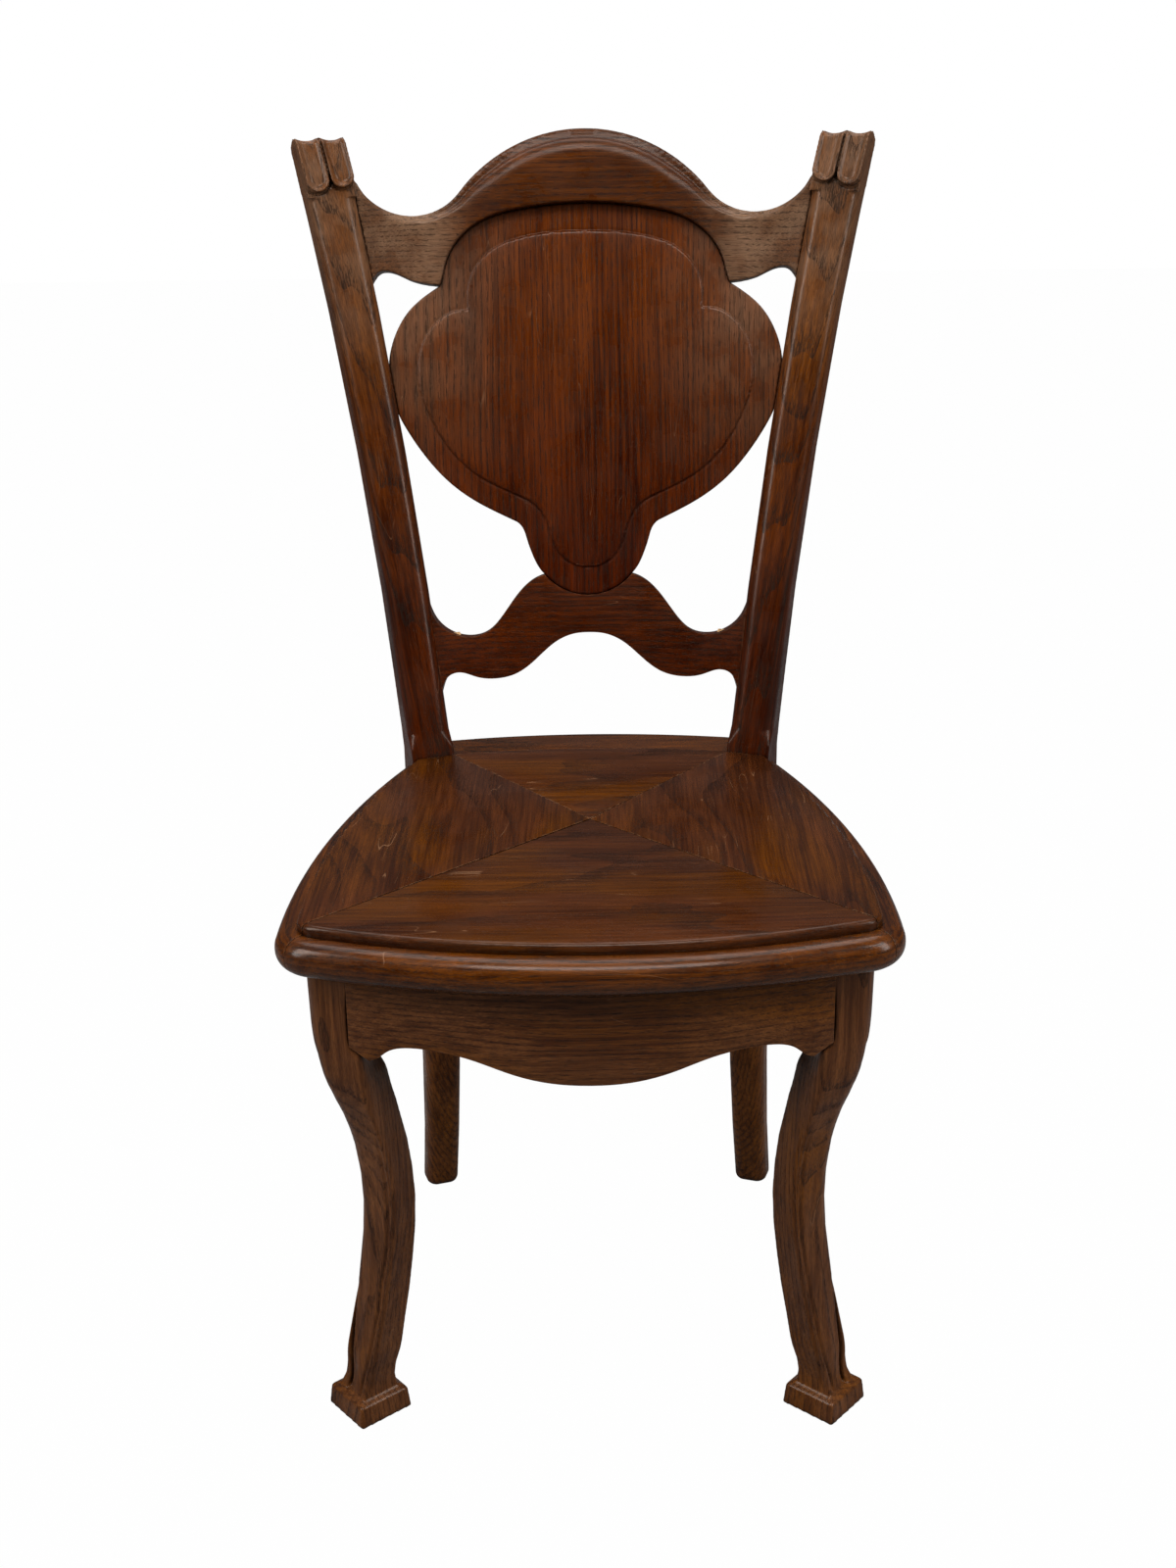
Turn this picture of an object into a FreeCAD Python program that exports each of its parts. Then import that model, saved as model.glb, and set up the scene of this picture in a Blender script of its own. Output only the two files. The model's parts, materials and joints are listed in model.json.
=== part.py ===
import FreeCAD, Part
import Sketcher
import math
import os

# Balloon back dining chair in stained oak: carved rear posts, a shaped panel held between
# two rails, a mitred seat board lying in a rounded frame, and turned-out front legs.
# Frame: X to the sitter's left and right, Y from front to back, Z up, floor at Z = 0.

V = FreeCAD.Vector
doc = FreeCAD.newDocument("balloon_back_chair")
sheet = doc.addObject("Spreadsheet::Sheet", "Sizes")

SIZES = (
    ("seat_height", 448, "floor to the top of the seat board"),
    ("seat_reach", 395.6, "face of the rear posts to the nose of the seat frame"),
    ("seat_half_width", 225.2, "half the widest part of the seat frame"),
    ("seat_widest_y", 317, "widest part of the seat, in front of the rear posts"),
    ("front_bow_radius", 620, "plan radius of the front of the seat"),
    ("side_bow_radius", 850, "plan radius of the sides of the seat"),
    ("seat_corner_radius", 36, "plan radius of the front corners of the seat"),
    ("frame_thickness", 28, "seat frame, top to bottom"),
    ("frame_member_width", 62, "seat frame, nose to inner edge"),
    ("nose_radius", 13, "rounding of the nose of the seat frame"),
    ("board_inset", 17, "nose of the frame to the edge of the seat board"),
    ("board_thickness", 18, "seat board"),
    ("board_stand", 8, "height of the seat board above the frame"),
    ("board_edge_radius", 4, "rounding of the seat board"),
    ("board_centre_y", 150, "meeting point of the mitres, in front of the posts"),
    ("rear_bow_radius", 620, "plan radius of the back edge of the seat"),
    ("board_rear_y", 11.4, "back edge of the board on the centre line, behind the post face"),
    ("rear_member_depth", 49, "rear seat frame member, front to back on the centre line"),
    ("rear_member_drop", 2, "rear seat frame member, below the seat board"),
    ("rear_nose_radius", 9, "rounding of the rear seat frame member"),
    ("apron_inset", 21, "nose of the seat frame to the face of the aprons"),
    ("apron_thickness", 23, "front and side aprons"),
    ("front_apron_depth", 77, "front apron on the centre line"),
    ("front_apron_arch_depth", 53, "front apron at the crown of its end arches"),
    ("side_apron_depth", 62, "side aprons at their ends"),
    ("side_apron_rise", 12, "arch in the lower edge of the side aprons"),
    ("rear_apron_depth", 60, "rear apron"),
    ("rear_apron_thickness", 22, "rear apron"),
    ("apron_joint_x", 174, "centre line to the joint of front apron and front leg"),
    ("post_half_gap", 117.5, "centre line to the inner front corner of a post at the seat"),
    ("post_turn", 18, "degrees that each rear post is turned inwards"),
    ("post_width", 37, "face of a rear post at the seat"),
    ("post_depth", 35, "rear post at the seat, front to back"),
    ("post_head_width", 41, "face of a rear post at its head"),
    ("post_foot_width", 30, "side of a rear post at the floor"),
    ("post_edge_radius", 12, "rounding of the front edges of a post"),
    ("post_sweep_back", 34, "rear foot behind the post at the seat"),
    ("post_splay", 0.102, "outward lean of a post at the seat, per unit of height"),
    ("post_splay_gain", 0.0001, "growth of the outward lean with height"),
    ("back_rake", 12, "degrees that the back leans"),
    ("back_radius", 600, "plan radius of the hollow back"),
    ("back_centre_y", 15, "face of the back on the centre line at the seat"),
    ("back_height", 506, "length of the back above the seat, along its lean"),
    ("post_proud", 6, "face of a post in front of the face of the rails"),
    ("head_height", 42, "scrolled head of a post"),
    ("head_proud", 6, "tongues of the head in front of the post"),
    ("tongue_scoop", 2.4, "hollow of a tongue between its rims"),
    ("rail_thickness", 23, "crest rail and lower back rail"),
    ("panel_thickness", 14, "back panel behind its border"),
    ("panel_set_back", 4, "face of the panel border behind the face of the rails"),
    ("field_height", 3, "raised field of the back panel"),
    ("crest_crown_radius", 130, "top of the crest rail over the panel"),
    ("crest_hollow_radius", 50, "hollows beside the crown of the crest rail"),
    ("crest_height", 518, "top of the crest rail above the seat, along the lean"),
    ("crest_hollow_x", 143, "centre line to the bottom of a crest hollow"),
    ("crest_swell", 8, "swelling of the crown in front of the rail face"),
    ("crest_swell_reach", 140, "centre line to the end of the swelling"),
    ("crest_roll_radius", 9, "rounding of the top of the swelling"),
    ("dowel_radius", 5, "beech dowels"),
    ("dowel_length", 44, "beech dowels"),
    ("block_leg", 58, "corner block along each apron"),
    ("block_height", 22, "corner block, top to bottom"),
    ("screw_radius", 2.2, "wood screw shank"),
    ("screw_head_radius", 4.2, "wood screw head"),
    ("screw_length", 34, "wood screw"),
    ("spline_width", 16, "loose tongue in a mitre of the seat board"),
    ("spline_thickness", 4, "loose tongue in a mitre of the seat board"),
    ("leg_side", 32, "front leg at its slimmest, on the square"),
    ("foot_side", 48, "pad of a front foot, on the square"),
    ("foot_height", 16, "pad of a front foot"),
)
for row, (alias, value, note) in enumerate(SIZES, start=1):
    sheet.set("A%d" % row, note)
    sheet.set("B%d" % row, str(value))
    sheet.setAlias("B%d" % row, alias)
doc.recompute()


def size(alias):
    return float(getattr(sheet, alias))


# Values worked out from the sheet
SEAT_TOP = size("seat_height")
FRAME_TOP = SEAT_TOP - size("board_stand")
FRAME_BOTTOM = FRAME_TOP - size("frame_thickness")
RAKE = math.radians(size("back_rake"))
TURN = math.radians(size("post_turn"))
U_DIR = V(math.cos(TURN), -math.sin(TURN), 0)
N_DIR = V(math.sin(TURN), math.cos(TURN), 0)


def hollow(x, radius):
    """Depth of an arc of the radius at the distance x from its middle."""
    return radius - math.sqrt(radius * radius - x * x)


def back_point(x, v, w):
    """Point at x, at v along the lean of the back and w behind its chord plane."""
    y = size("back_centre_y") + v * math.sin(RAKE) + w * math.cos(RAKE)
    z = SEAT_TOP + v * math.cos(RAKE) - w * math.sin(RAKE)
    return V(x, y, z)


def post_x(v):
    """Middle of the face of a post, v along the lean of the back."""
    at_seat = size("post_half_gap") + size("post_width") / 2 * math.cos(TURN)
    return at_seat + size("post_splay") * v + size("post_splay_gain") * v * v


def stile_point(v):
    """Middle of the front face of a post above the seat."""
    x = post_x(v)
    return back_point(x, v, -hollow(x, size("back_radius")) - size("post_proud"))


def stile_at(z):
    """Middle of the front face of a post at the height z above the seat."""
    v = (z - SEAT_TOP) / math.cos(RAKE)
    for _ in range(6):
        v += (z - stile_point(v).z) / math.cos(RAKE)
    return stile_point(v)


HEAD_TOP = stile_point(size("back_height")).z
BACK_REACH = back_point(0, size("crest_height"), size("rail_thickness")).y
# The origin is under the middle of the chair's depth
SHIFT = V(0, (size("seat_reach") - BACK_REACH) / 2, 0)


def rounded_section(corners, radii):
    """Closed wire through corners in order, each rounded by its radius."""
    edges = []
    count = len(corners)
    starts = []
    ends = []
    mids = []
    for i in range(count):
        p = corners[i]
        before = (corners[i - 1] - p).normalize()
        after = (corners[(i + 1) % count] - p).normalize()
        half = before.getAngle(after) / 2
        reach = radii[i] / math.tan(half)
        centre = p + (before + after).normalize() * (radii[i] / math.sin(half))
        starts.append(p + before * reach)
        ends.append(p + after * reach)
        mids.append(centre - (centre - p).normalize() * radii[i])
    for i in range(count):
        edges.append(Part.Arc(starts[i], mids[i], ends[i]).toShape())
        edges.append(Part.LineSegment(ends[i], starts[(i + 1) % count]).toShape())
    return Part.Wire(edges)


def turned_square(centre, side, depth, angle, radii):
    """Rounded rectangle at a centre, turned by an angle in radians about Z."""
    u = V(math.cos(angle), math.sin(angle), 0)
    n = V(-math.sin(angle), math.cos(angle), 0)
    half_u = u * (side / 2)
    half_n = n * (depth / 2)
    corners = [centre - half_u - half_n, centre + half_u - half_n,
               centre + half_u + half_n, centre - half_u + half_n]
    return rounded_section(corners, radii)


def add_shape(name, shape):
    """Document object that holds a shape made by a function."""
    item = doc.addObject("Part::Feature", name)
    item.Shape = shape
    return item


# Plan of the seat: bowed front and sides joined by rounded corners

def corner_circle():
    """Centre of the rounded corner of the seat on the right."""
    radius = size("seat_corner_radius")
    front_centre = V(0, size("front_bow_radius") - size("seat_reach"), 0)
    side_centre = V(size("seat_half_width") - size("side_bow_radius"), -size("seat_widest_y"), 0)
    ra = size("front_bow_radius") - radius
    rb = size("side_bow_radius") - radius
    gap = side_centre - front_centre
    along = (ra * ra - rb * rb + gap.Length ** 2) / (2 * gap.Length)
    across = math.sqrt(ra * ra - along * along)
    unit = V(gap).normalize()
    first = front_centre + unit * along + V(-unit.y, unit.x, 0) * across
    second = front_centre + unit * along - V(-unit.y, unit.x, 0) * across
    return first if first.x > second.x else second


CORNER = corner_circle()
FRONT_CENTRE = V(0, size("front_bow_radius") - size("seat_reach"), 0)
SIDE_CENTRE = V(size("seat_half_width") - size("side_bow_radius"), -size("seat_widest_y"), 0)


def side_x(y, inset):
    """Half width of the seat outline at y, moved in by inset."""
    radius = size("side_bow_radius") - inset
    return SIDE_CENTRE.x + math.sqrt(radius ** 2 - (y - SIDE_CENTRE.y) ** 2)


def front_y(x, inset):
    """Front of the seat outline at x, moved in by inset."""
    radius = size("front_bow_radius") - inset
    return FRONT_CENTRE.y - math.sqrt(radius ** 2 - x ** 2)


def outline_edges(inset, rear_y, z):
    """Edges of the seat outline, from the right rear round the front to the left rear."""
    corner_radius = size("seat_corner_radius") - inset
    to_side = (CORNER - SIDE_CENTRE).normalize()
    to_front = (CORNER - FRONT_CENTRE).normalize()
    side_end = V(side_x(rear_y, inset), rear_y, 0)
    side_mid_y = (rear_y + SIDE_CENTRE.y) / 2
    side_mid = V(side_x(side_mid_y, inset), side_mid_y, 0)
    if corner_radius > 0.5:
        side_join = CORNER + to_side * corner_radius
        front_join = CORNER + to_front * corner_radius
        middle = CORNER + (to_side + to_front).normalize() * corner_radius
    else:
        side_join = front_join = inner_corner(inset)
        middle = None
    front_mid = V(0, front_y(0, inset), 0)
    mirror = lambda p: V(-p.x, p.y, z)
    lift = lambda p: V(p.x, p.y, z)
    edges = [Part.Arc(lift(side_end), lift(side_mid), lift(side_join)).toShape()]
    if middle:
        edges.append(Part.Arc(lift(side_join), lift(middle), lift(front_join)).toShape())
    edges.append(Part.Arc(lift(front_join), lift(front_mid), mirror(front_join)).toShape())
    if middle:
        edges.append(Part.Arc(mirror(front_join), mirror(middle), mirror(side_join)).toShape())
    edges.append(Part.Arc(mirror(side_join), mirror(side_mid), mirror(side_end)).toShape())
    return edges, lift(side_end), mirror(side_end)


def inner_corner(inset):
    """Sharp corner of the outline where the inset is larger than the corner radius."""
    y = CORNER.y
    for _ in range(40):
        x = side_x(y, inset)
        y = front_y(x, inset)
    return V(x, y, 0)


def outline_solid(inset, rear_y, bottom, top):
    """Slab with the seat outline and a straight back at rear_y."""
    edges, right, left = outline_edges(inset, rear_y, bottom)
    edges.append(Part.LineSegment(left, right).toShape())
    face = Part.Face(Part.Wire(edges))
    return face.extrude(V(0, 0, top - bottom))


def prism(points, bottom, top):
    """Upright prism over a list of plan points."""
    ring = [V(x, y, bottom) for x, y in points]
    ring.append(ring[0])
    return Part.Face(Part.makePolygon(ring)).extrude(V(0, 0, top - bottom))


# Rear posts: leg and stile in one piece, turned inwards

def post_section(face_mid, width, depth, front_radius, back_radius):
    """Section of the right post from the middle of its front face."""
    centre = face_mid + N_DIR * (depth / 2)
    radii = (front_radius, front_radius, back_radius, back_radius)
    return turned_square(centre, width, depth, -TURN, radii)


def leg_face(z):
    """Middle of the front face of the rear leg at the height z under the seat."""
    top = stile_at(SEAT_TOP)
    straight_to = 0.9 * FRAME_BOTTOM
    drop = max(0.0, (straight_to - z) / straight_to)
    point = top + N_DIR * (size("post_sweep_back") * drop ** 3)
    point.z = z
    return point


def make_post():
    width = size("post_width")
    depth = size("post_depth")
    edge = size("post_edge_radius")
    foot = size("post_foot_width")
    plinth_top = SEAT_TOP + 8
    stop_top = plinth_top + 12
    leg_sections = []
    for z, share in ((0, 0), (0.16, 0.1), (0.34, 0.34), (0.56, 0.66), (0.78, 0.92)):
        side = foot + (width - foot) * share
        deep = foot + (depth - foot) * share
        leg_sections.append(post_section(leg_face(z * FRAME_BOTTOM), side, deep, 6, 6))
    leg_sections.append(post_section(leg_face(FRAME_BOTTOM), width, depth, 2, 2))
    leg = Part.makeLoft(leg_sections, True, True)
    waist = Part.makeLoft([post_section(leg_face(FRAME_BOTTOM), width, depth, 2, 2),
                           post_section(stile_at(SEAT_TOP), width, depth, 2, 2),
                           post_section(stile_at(plinth_top), width, depth, 2, 2)], True, True)
    stop = Part.makeLoft([post_section(stile_at(plinth_top), width, depth, 2, 2),
                          post_section(stile_at(stop_top), width, depth, edge, 3)], True, True)
    stile_sections = []
    steps = 4
    for i in range(steps + 1):
        share = i / steps
        z = stop_top + (HEAD_TOP - size("head_height") * 0.5 - stop_top) * share
        wide = width + (size("post_head_width") - width) * share ** 2
        stile_sections.append(post_section(stile_at(z), wide, depth - 2 * share, edge, 3))
    stile = Part.makeLoft(stile_sections, True, True)
    post = leg.fuse([waist, stop, stile])
    return post.fuse(make_head())


def make_head():
    """Scrolled head: a core across the top of the post under two scooped tongues."""
    wide = size("post_head_width")
    depth = size("post_depth") - 2
    low = stile_at(HEAD_TOP - size("head_height"))
    rise = stile_point(size("back_height")) - low
    core_line = ((0, -0.1), (0, 0.85), (3, 0.93), (depth * 0.6, 0.9), (depth, 0.7), (depth, -0.1))
    corners = [low + rise * share + N_DIR * n - U_DIR * (wide / 2) for n, share in core_line]
    core = Part.Face(Part.makePolygon(corners + corners[:1])).extrude(U_DIR * wide)
    head = core
    for side in (-1, 1):
        head = head.fuse(make_tongue(low + U_DIR * (side * wide / 4), rise, depth, wide / 2 - 0.8))
    return head


def make_tongue(low, rise, depth, full_width):
    """Scooped tongue that rolls over the head, from its rounded lower end to the back."""
    proud = size("head_proud")
    scoop = size("tongue_scoop")
    stations = ((2 - proud, 0.02, 0.3), (-proud, 0.07, 0.66), (-proud - 0.5, 0.16, 0.93),
                (-proud, 0.32, 1), (-proud * 0.75, 0.55, 1), (-proud * 0.5, 0.78, 1),
                (1 - proud * 0.5, 0.94, 1), (3, 1, 1), (depth * 0.5, 0.97, 1), (depth, 0.8, 1))
    places = [low + rise * share + N_DIR * n for n, share, _ in stations]
    sections = []
    for i, (_, _, share) in enumerate(stations):
        along = places[min(i + 1, len(places) - 1)] - places[max(i - 1, 0)]
        outward = U_DIR.cross(along).normalize()
        if i == 0:
            outward = N_DIR * -1
        half = U_DIR * (full_width * share / 2)
        deep = outward * -7
        left = places[i] - half
        right = places[i] + half
        dip = places[i] - outward * (scoop * share)
        sections.append(Part.Wire([Part.LineSegment(left + deep, left).toShape(),
                                   Part.Arc(left, dip, right).toShape(),
                                   Part.LineSegment(right, right + deep).toShape(),
                                   Part.LineSegment(right + deep, left + deep).toShape()]))
    return Part.makeLoft(sections, True, True)


# Front legs: a square leg that twists from the corner of the seat to a turned-out foot

LEG_TURN = math.radians(18)
LEG_STATIONS = (
    # share of the height, X and Y from the top of the leg, side as a share, turn in degrees
    (1.0, 0, 0, 1.31, 18), (0.785, -8, -1.5, 1.14, 25), (0.74, -12, 0, 1.06, 27),
    (0.68, -17, 4, 1.01, 28), (0.62, -21, 9, 1, 28.5), (0.555, -23.3, 13, 1, 30.5),
    (0.49, -24, 16, 1, 33), (0.42, -22.4, 18.6, 1, 35), (0.35, -19, 21, 1, 37.5),
    (0.28, -15, 22.6, 1, 39.7), (0.21, -10, 24, 1, 42), (0.15, -5.8, 24.6, 1.01, 45),
    (0.11, -3, 25.4, 1.05, 47.5), (0.078, -1, 27, 1.15, 49), (0.045, 1, 29.5, 1.34, 50),
)


def leg_top():
    """Middle of the leg under the seat, its rounded corner on the centre of the seat's corner."""
    side = size("leg_side") * LEG_STATIONS[0][3]
    shift = side / 2 - (size("seat_corner_radius") - size("apron_inset"))
    u = V(math.cos(LEG_TURN), math.sin(LEG_TURN), 0)
    n = V(-math.sin(LEG_TURN), math.cos(LEG_TURN), 0)
    return CORNER - u * shift + n * shift


def block_section(z, shrink, radius):
    """Section of the leg under the seat, flush with the front and the side apron."""
    inset = size("apron_inset") + shrink
    outer = inner_corner(inset)
    width = size("leg_side") * LEG_STATIONS[0][3] - shrink
    front_unit = (V(outer.x - 40, front_y(outer.x - 40, inset), 0) - outer).normalize()
    side_unit = (V(side_x(outer.y + 40, inset), outer.y + 40, 0) - outer).normalize()
    near = outer + front_unit * width
    rear = outer + side_unit * width
    corners = [near, outer, rear, near + side_unit * width * 0.93]
    for corner in corners:
        corner.z = z
    return rounded_section(corners, (2, radius, 3, 3))


def make_front_leg():
    top = leg_top()
    round_corner = size("seat_corner_radius") - size("apron_inset")
    sections = [block_section(FRAME_BOTTOM, 0, round_corner),
                block_section(FRAME_BOTTOM * 0.875, 0, round_corner),
                block_section(FRAME_BOTTOM * 0.84, 0.5, round_corner)]
    for share, dx, dy, factor, turn in LEG_STATIONS[1:]:
        side = size("leg_side") * factor
        centre = top + V(dx, dy, share * FRAME_BOTTOM)
        outer = 2 + (round_corner - 2) * min(1, max(0.0, (share - 0.1) / 0.75)) ** 0.7
        radii = (2, outer, 3, 3)
        sections.append(turned_square(centre, side, side, math.radians(turn), radii))
    block = Part.makeLoft(sections[:2], True, True)
    shank = Part.makeLoft(sections[1:], True, True)
    last = LEG_STATIONS[-1]
    foot_turn = math.radians(last[4])
    pad_centre = top + V(last[1], last[2], 0)
    lift = V(0, 0, size("foot_height"))
    pad_top = size("foot_side") - 3
    low = turned_square(pad_centre, size("foot_side"), size("foot_side"), foot_turn, (2, 2, 2, 2))
    high = turned_square(pad_centre + lift, pad_top, pad_top, foot_turn, (2, 2, 2, 2))
    step = turned_square(pad_centre + V(0, 0, last[0] * FRAME_BOTTOM), size("leg_side") * last[3],
                         size("leg_side") * last[3], foot_turn, (2, 2, 3, 3))
    pad = Part.makeLoft([low, high], True, True)
    ledge = Part.makeLoft([high, step], True, True)
    return block.fuse([shank, pad, ledge])


# Aprons under the seat frame

def apron_strip(inset, thickness, rear_y):
    """Ring between two outlines, full height of the front apron."""
    depth = size("front_apron_depth")
    outer = outline_solid(inset, rear_y, FRAME_BOTTOM - depth, FRAME_BOTTOM)
    inner = outline_solid(inset + thickness, rear_y + 1, FRAME_BOTTOM - depth - 1, FRAME_BOTTOM + 1)
    return outer.cut(inner)


def front_profile():
    """Front view of the front apron: a deep middle and an arch near each leg."""
    low = FRAME_BOTTOM - size("front_apron_depth")
    crown = FRAME_BOTTOM - size("front_apron_arch_depth")
    joint = size("apron_joint_x")
    half = ((0, low), (27, low + 1.5), (56, low + 8), (86, low + 18.5), (108, crown - 1),
            (128, crown), (146, crown - 5), (153, crown - 11), (160, crown - 14))
    scale = joint / 174
    right = [V(x * scale, 0, z) for x, z in half]
    left = [V(-p.x, 0, p.z) for p in reversed(right[1:])]
    curve = Part.BSplineCurve()
    curve.interpolate(left + right)
    tip = right[-1]
    corner = V(joint, 0, tip.z + 9)
    top = V(joint, 0, FRAME_BOTTOM)
    line = [tip, corner, top, V(-top.x, 0, top.z), V(-corner.x, 0, corner.z), V(-tip.x, 0, tip.z)]
    edges = [curve.toShape()]
    for start, end in zip(line[:-1], line[1:]):
        edges.append(Part.LineSegment(start, end).toShape())
    return Part.Face(Part.Wire(Part.sortEdges(edges)[0]))


def make_front_apron():
    strip = apron_strip(size("apron_inset"), size("apron_thickness"), -size("seat_widest_y") + 100)
    profile = front_profile()
    profile.translate(V(0, -size("seat_reach") - 20, 0))
    return strip.common(profile.extrude(V(0, size("seat_reach") * 0.5, 0)))


SIDE_APRON_FRONT = CORNER.y + 30


def make_side_apron():
    """Right side apron, between the front leg and the rear post."""
    strip = apron_strip(size("apron_inset"), size("apron_thickness"), 20)
    start = SIDE_APRON_FRONT
    low = FRAME_BOTTOM - size("side_apron_depth")
    middle = V(0, start / 2, low + size("side_apron_rise"))
    arch = Part.Arc(V(0, start, low), middle, V(0, 0, low)).toShape()
    corners = [V(0, 0, low), V(0, 0, FRAME_BOTTOM), V(0, start, FRAME_BOTTOM), V(0, start, low)]
    edges = [arch]
    for p, q in zip(corners[:-1], corners[1:]):
        edges.append(Part.LineSegment(p, q).toShape())
    face = Part.Face(Part.Wire(Part.sortEdges(edges)[0]))
    return strip.common(face.extrude(V(size("seat_half_width") + 20, 0, 0)))


# Seat frame and seat board

def rear_arc_prism(rear_y, front_y_value, half_width, bottom, top):
    """Slab whose back edge is the bowed back of the seat."""
    radius = size("rear_bow_radius")
    side_y = rear_y - hollow(half_width, radius)
    arc = Part.Arc(V(-half_width, side_y, bottom), V(0, rear_y, bottom), V(half_width, side_y, bottom))
    line = [V(half_width, side_y, bottom), V(half_width, front_y_value, bottom),
            V(-half_width, front_y_value, bottom), V(-half_width, side_y, bottom)]
    edges = [arc.toShape()]
    for start, end in zip(line[:-1], line[1:]):
        edges.append(Part.LineSegment(start, end).toShape())
    return Part.Face(Part.Wire(edges)).extrude(V(0, 0, top - bottom))


def mitre_corner():
    """Far end of the front mitre, beyond the corner of the frame."""
    apex = V(0, -size("board_centre_y"), 0)
    return apex + (CORNER - apex) * 1.6


def rear_mitre_end():
    apex = V(0, -size("board_centre_y"), 0)
    return apex + (V(size("post_half_gap"), 0, 0) - apex) * 1.5


def nose_edges(shape, level):
    """Outer edges of the frame blank at a level."""
    found = []
    for edge in shape.Edges:
        box = edge.BoundBox
        flat = abs(box.ZMin - level) < 0.01 and abs(box.ZMax - level) < 0.01
        if flat and edge.Curve.TypeId == "Part::GeomCircle":
            found.append(edge)
    return found


def make_frame_ring():
    rear = 14
    blank = outline_solid(0, rear, FRAME_BOTTOM, FRAME_TOP)
    edges = nose_edges(blank, FRAME_BOTTOM) + nose_edges(blank, FRAME_TOP)
    blank = blank.makeFillet(size("nose_radius"), edges)
    width = size("frame_member_width")
    opening = outline_solid(width, rear + 1, FRAME_BOTTOM - 1, FRAME_TOP + 1)
    gap = size("post_half_gap") + size("post_width") * 0.4
    between = prism([(-gap, -2), (gap, -2), (gap, rear + 5), (-gap, rear + 5)],
                    FRAME_BOTTOM - 1, FRAME_TOP + 1)
    return blank.cut([opening, between])


def front_wedge(bottom, top):
    """Sector of the seat in front of the two front mitres."""
    apex = (0, -size("board_centre_y"))
    far = mitre_corner()
    return prism([apex, (-far.x, far.y), (-far.x, far.y - 400), (far.x, far.y - 400), (far.x, far.y)],
                 bottom, top)


def rear_wedge(bottom, top):
    apex = (0, -size("board_centre_y"))
    far = rear_mitre_end()
    return prism([apex, (far.x, far.y), (-far.x, far.y)], bottom, top)


def make_board_blank():
    low = SEAT_TOP - size("board_thickness")
    blank = outline_solid(size("board_inset"), 30, low, SEAT_TOP)
    back = rear_arc_prism(size("board_rear_y"), -600, 400, low - 1, SEAT_TOP + 1)
    blank = blank.common(back)
    edges = nose_edges(blank, SEAT_TOP)
    edges = [e for e in edges if e.BoundBox.YMax < 5 or e.Curve.Radius != size("rear_bow_radius")]
    front = [e for e in edges if e.BoundBox.YMin < -30]
    return blank.makeFillet(size("board_edge_radius"), front)


def make_rear_member():
    """Member of the seat frame between the posts, with a ledge for the seat board."""
    gap = size("post_half_gap") + size("post_width") * 0.55
    top = SEAT_TOP - size("rear_member_drop")
    rear = size("board_rear_y") + size("rear_member_depth")
    blank = rear_arc_prism(rear, -2, gap, FRAME_BOTTOM, top)
    edges = []
    for edge in blank.Edges:
        box = edge.BoundBox
        if edge.Curve.TypeId == "Part::GeomCircle" and box.ZMax - box.ZMin < 0.01:
            edges.append(edge)
    blank = blank.makeFillet(size("rear_nose_radius"), edges)
    board = rear_arc_prism(size("board_rear_y"), -100, 300,
                           SEAT_TOP - size("board_thickness"), SEAT_TOP + 5)
    return blank.cut(board)


# The back: crest rail, lower rail and panel, cut from curved stock

def back_slab(front, thickness):
    """Curved stock of the back, its face set behind the rail face by front."""
    half = size("post_half_gap") * 2.1
    radius = size("back_radius")
    v_low = -10
    v_high = size("crest_height") + 30

    def bowed(offset, at_x):
        """Point of the stock's plan at the foot of the back."""
        r = radius + offset
        return back_point(at_x, v_low, offset - hollow(at_x, r))

    inner = Part.Arc(bowed(front, -half), bowed(front, 0), bowed(front, half)).toShape()
    rear = front + thickness
    outer = Part.Arc(bowed(rear, half), bowed(rear, 0), bowed(rear, -half)).toShape()
    right = Part.LineSegment(bowed(front, half), bowed(rear, half)).toShape()
    left = Part.LineSegment(bowed(rear, -half), bowed(front, -half)).toShape()
    face = Part.Face(Part.Wire([inner, right, outer, left]))
    along = back_point(0, v_high, 0) - back_point(0, v_low, 0)
    return face.extrude(along)


def through(edges):
    """Prism through the back over an outline drawn at its chord plane."""
    face = Part.Face(Part.Wire(Part.sortEdges(edges)[0]))
    deep = back_point(0, 0, 120) - back_point(0, 0, 0)
    face.translate(deep * -1)
    return face.extrude(deep * 2)


def spline(points):
    curve = Part.BSplineCurve()
    curve.interpolate([back_point(x, v, 0) for x, v in points])
    return curve.toShape()


def both(points):
    """Spline and its mirror image."""
    return [spline(points), spline([(-x, v) for x, v in points])]


def lines(points):
    edges = []
    for start, end in zip(points[:-1], points[1:]):
        edges.append(Part.LineSegment(back_point(*start, 0), back_point(*end, 0)).toShape())
    return edges


def arc(start, middle, end):
    return Part.Arc(back_point(*start, 0), back_point(*middle, 0), back_point(*end, 0)).toShape()


def up(v):
    """Height in the back that is drawn for a crest 518 mm above the seat."""
    return v * size("crest_height") / 518


def drawn(points):
    """Points of an outline with their heights fitted to the crest."""
    return [(x, up(v)) for x, v in points]


PANEL_NECK = (37.3, up(149.5))
PANEL_NOTCH = (120.5, up(391.7))


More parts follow.
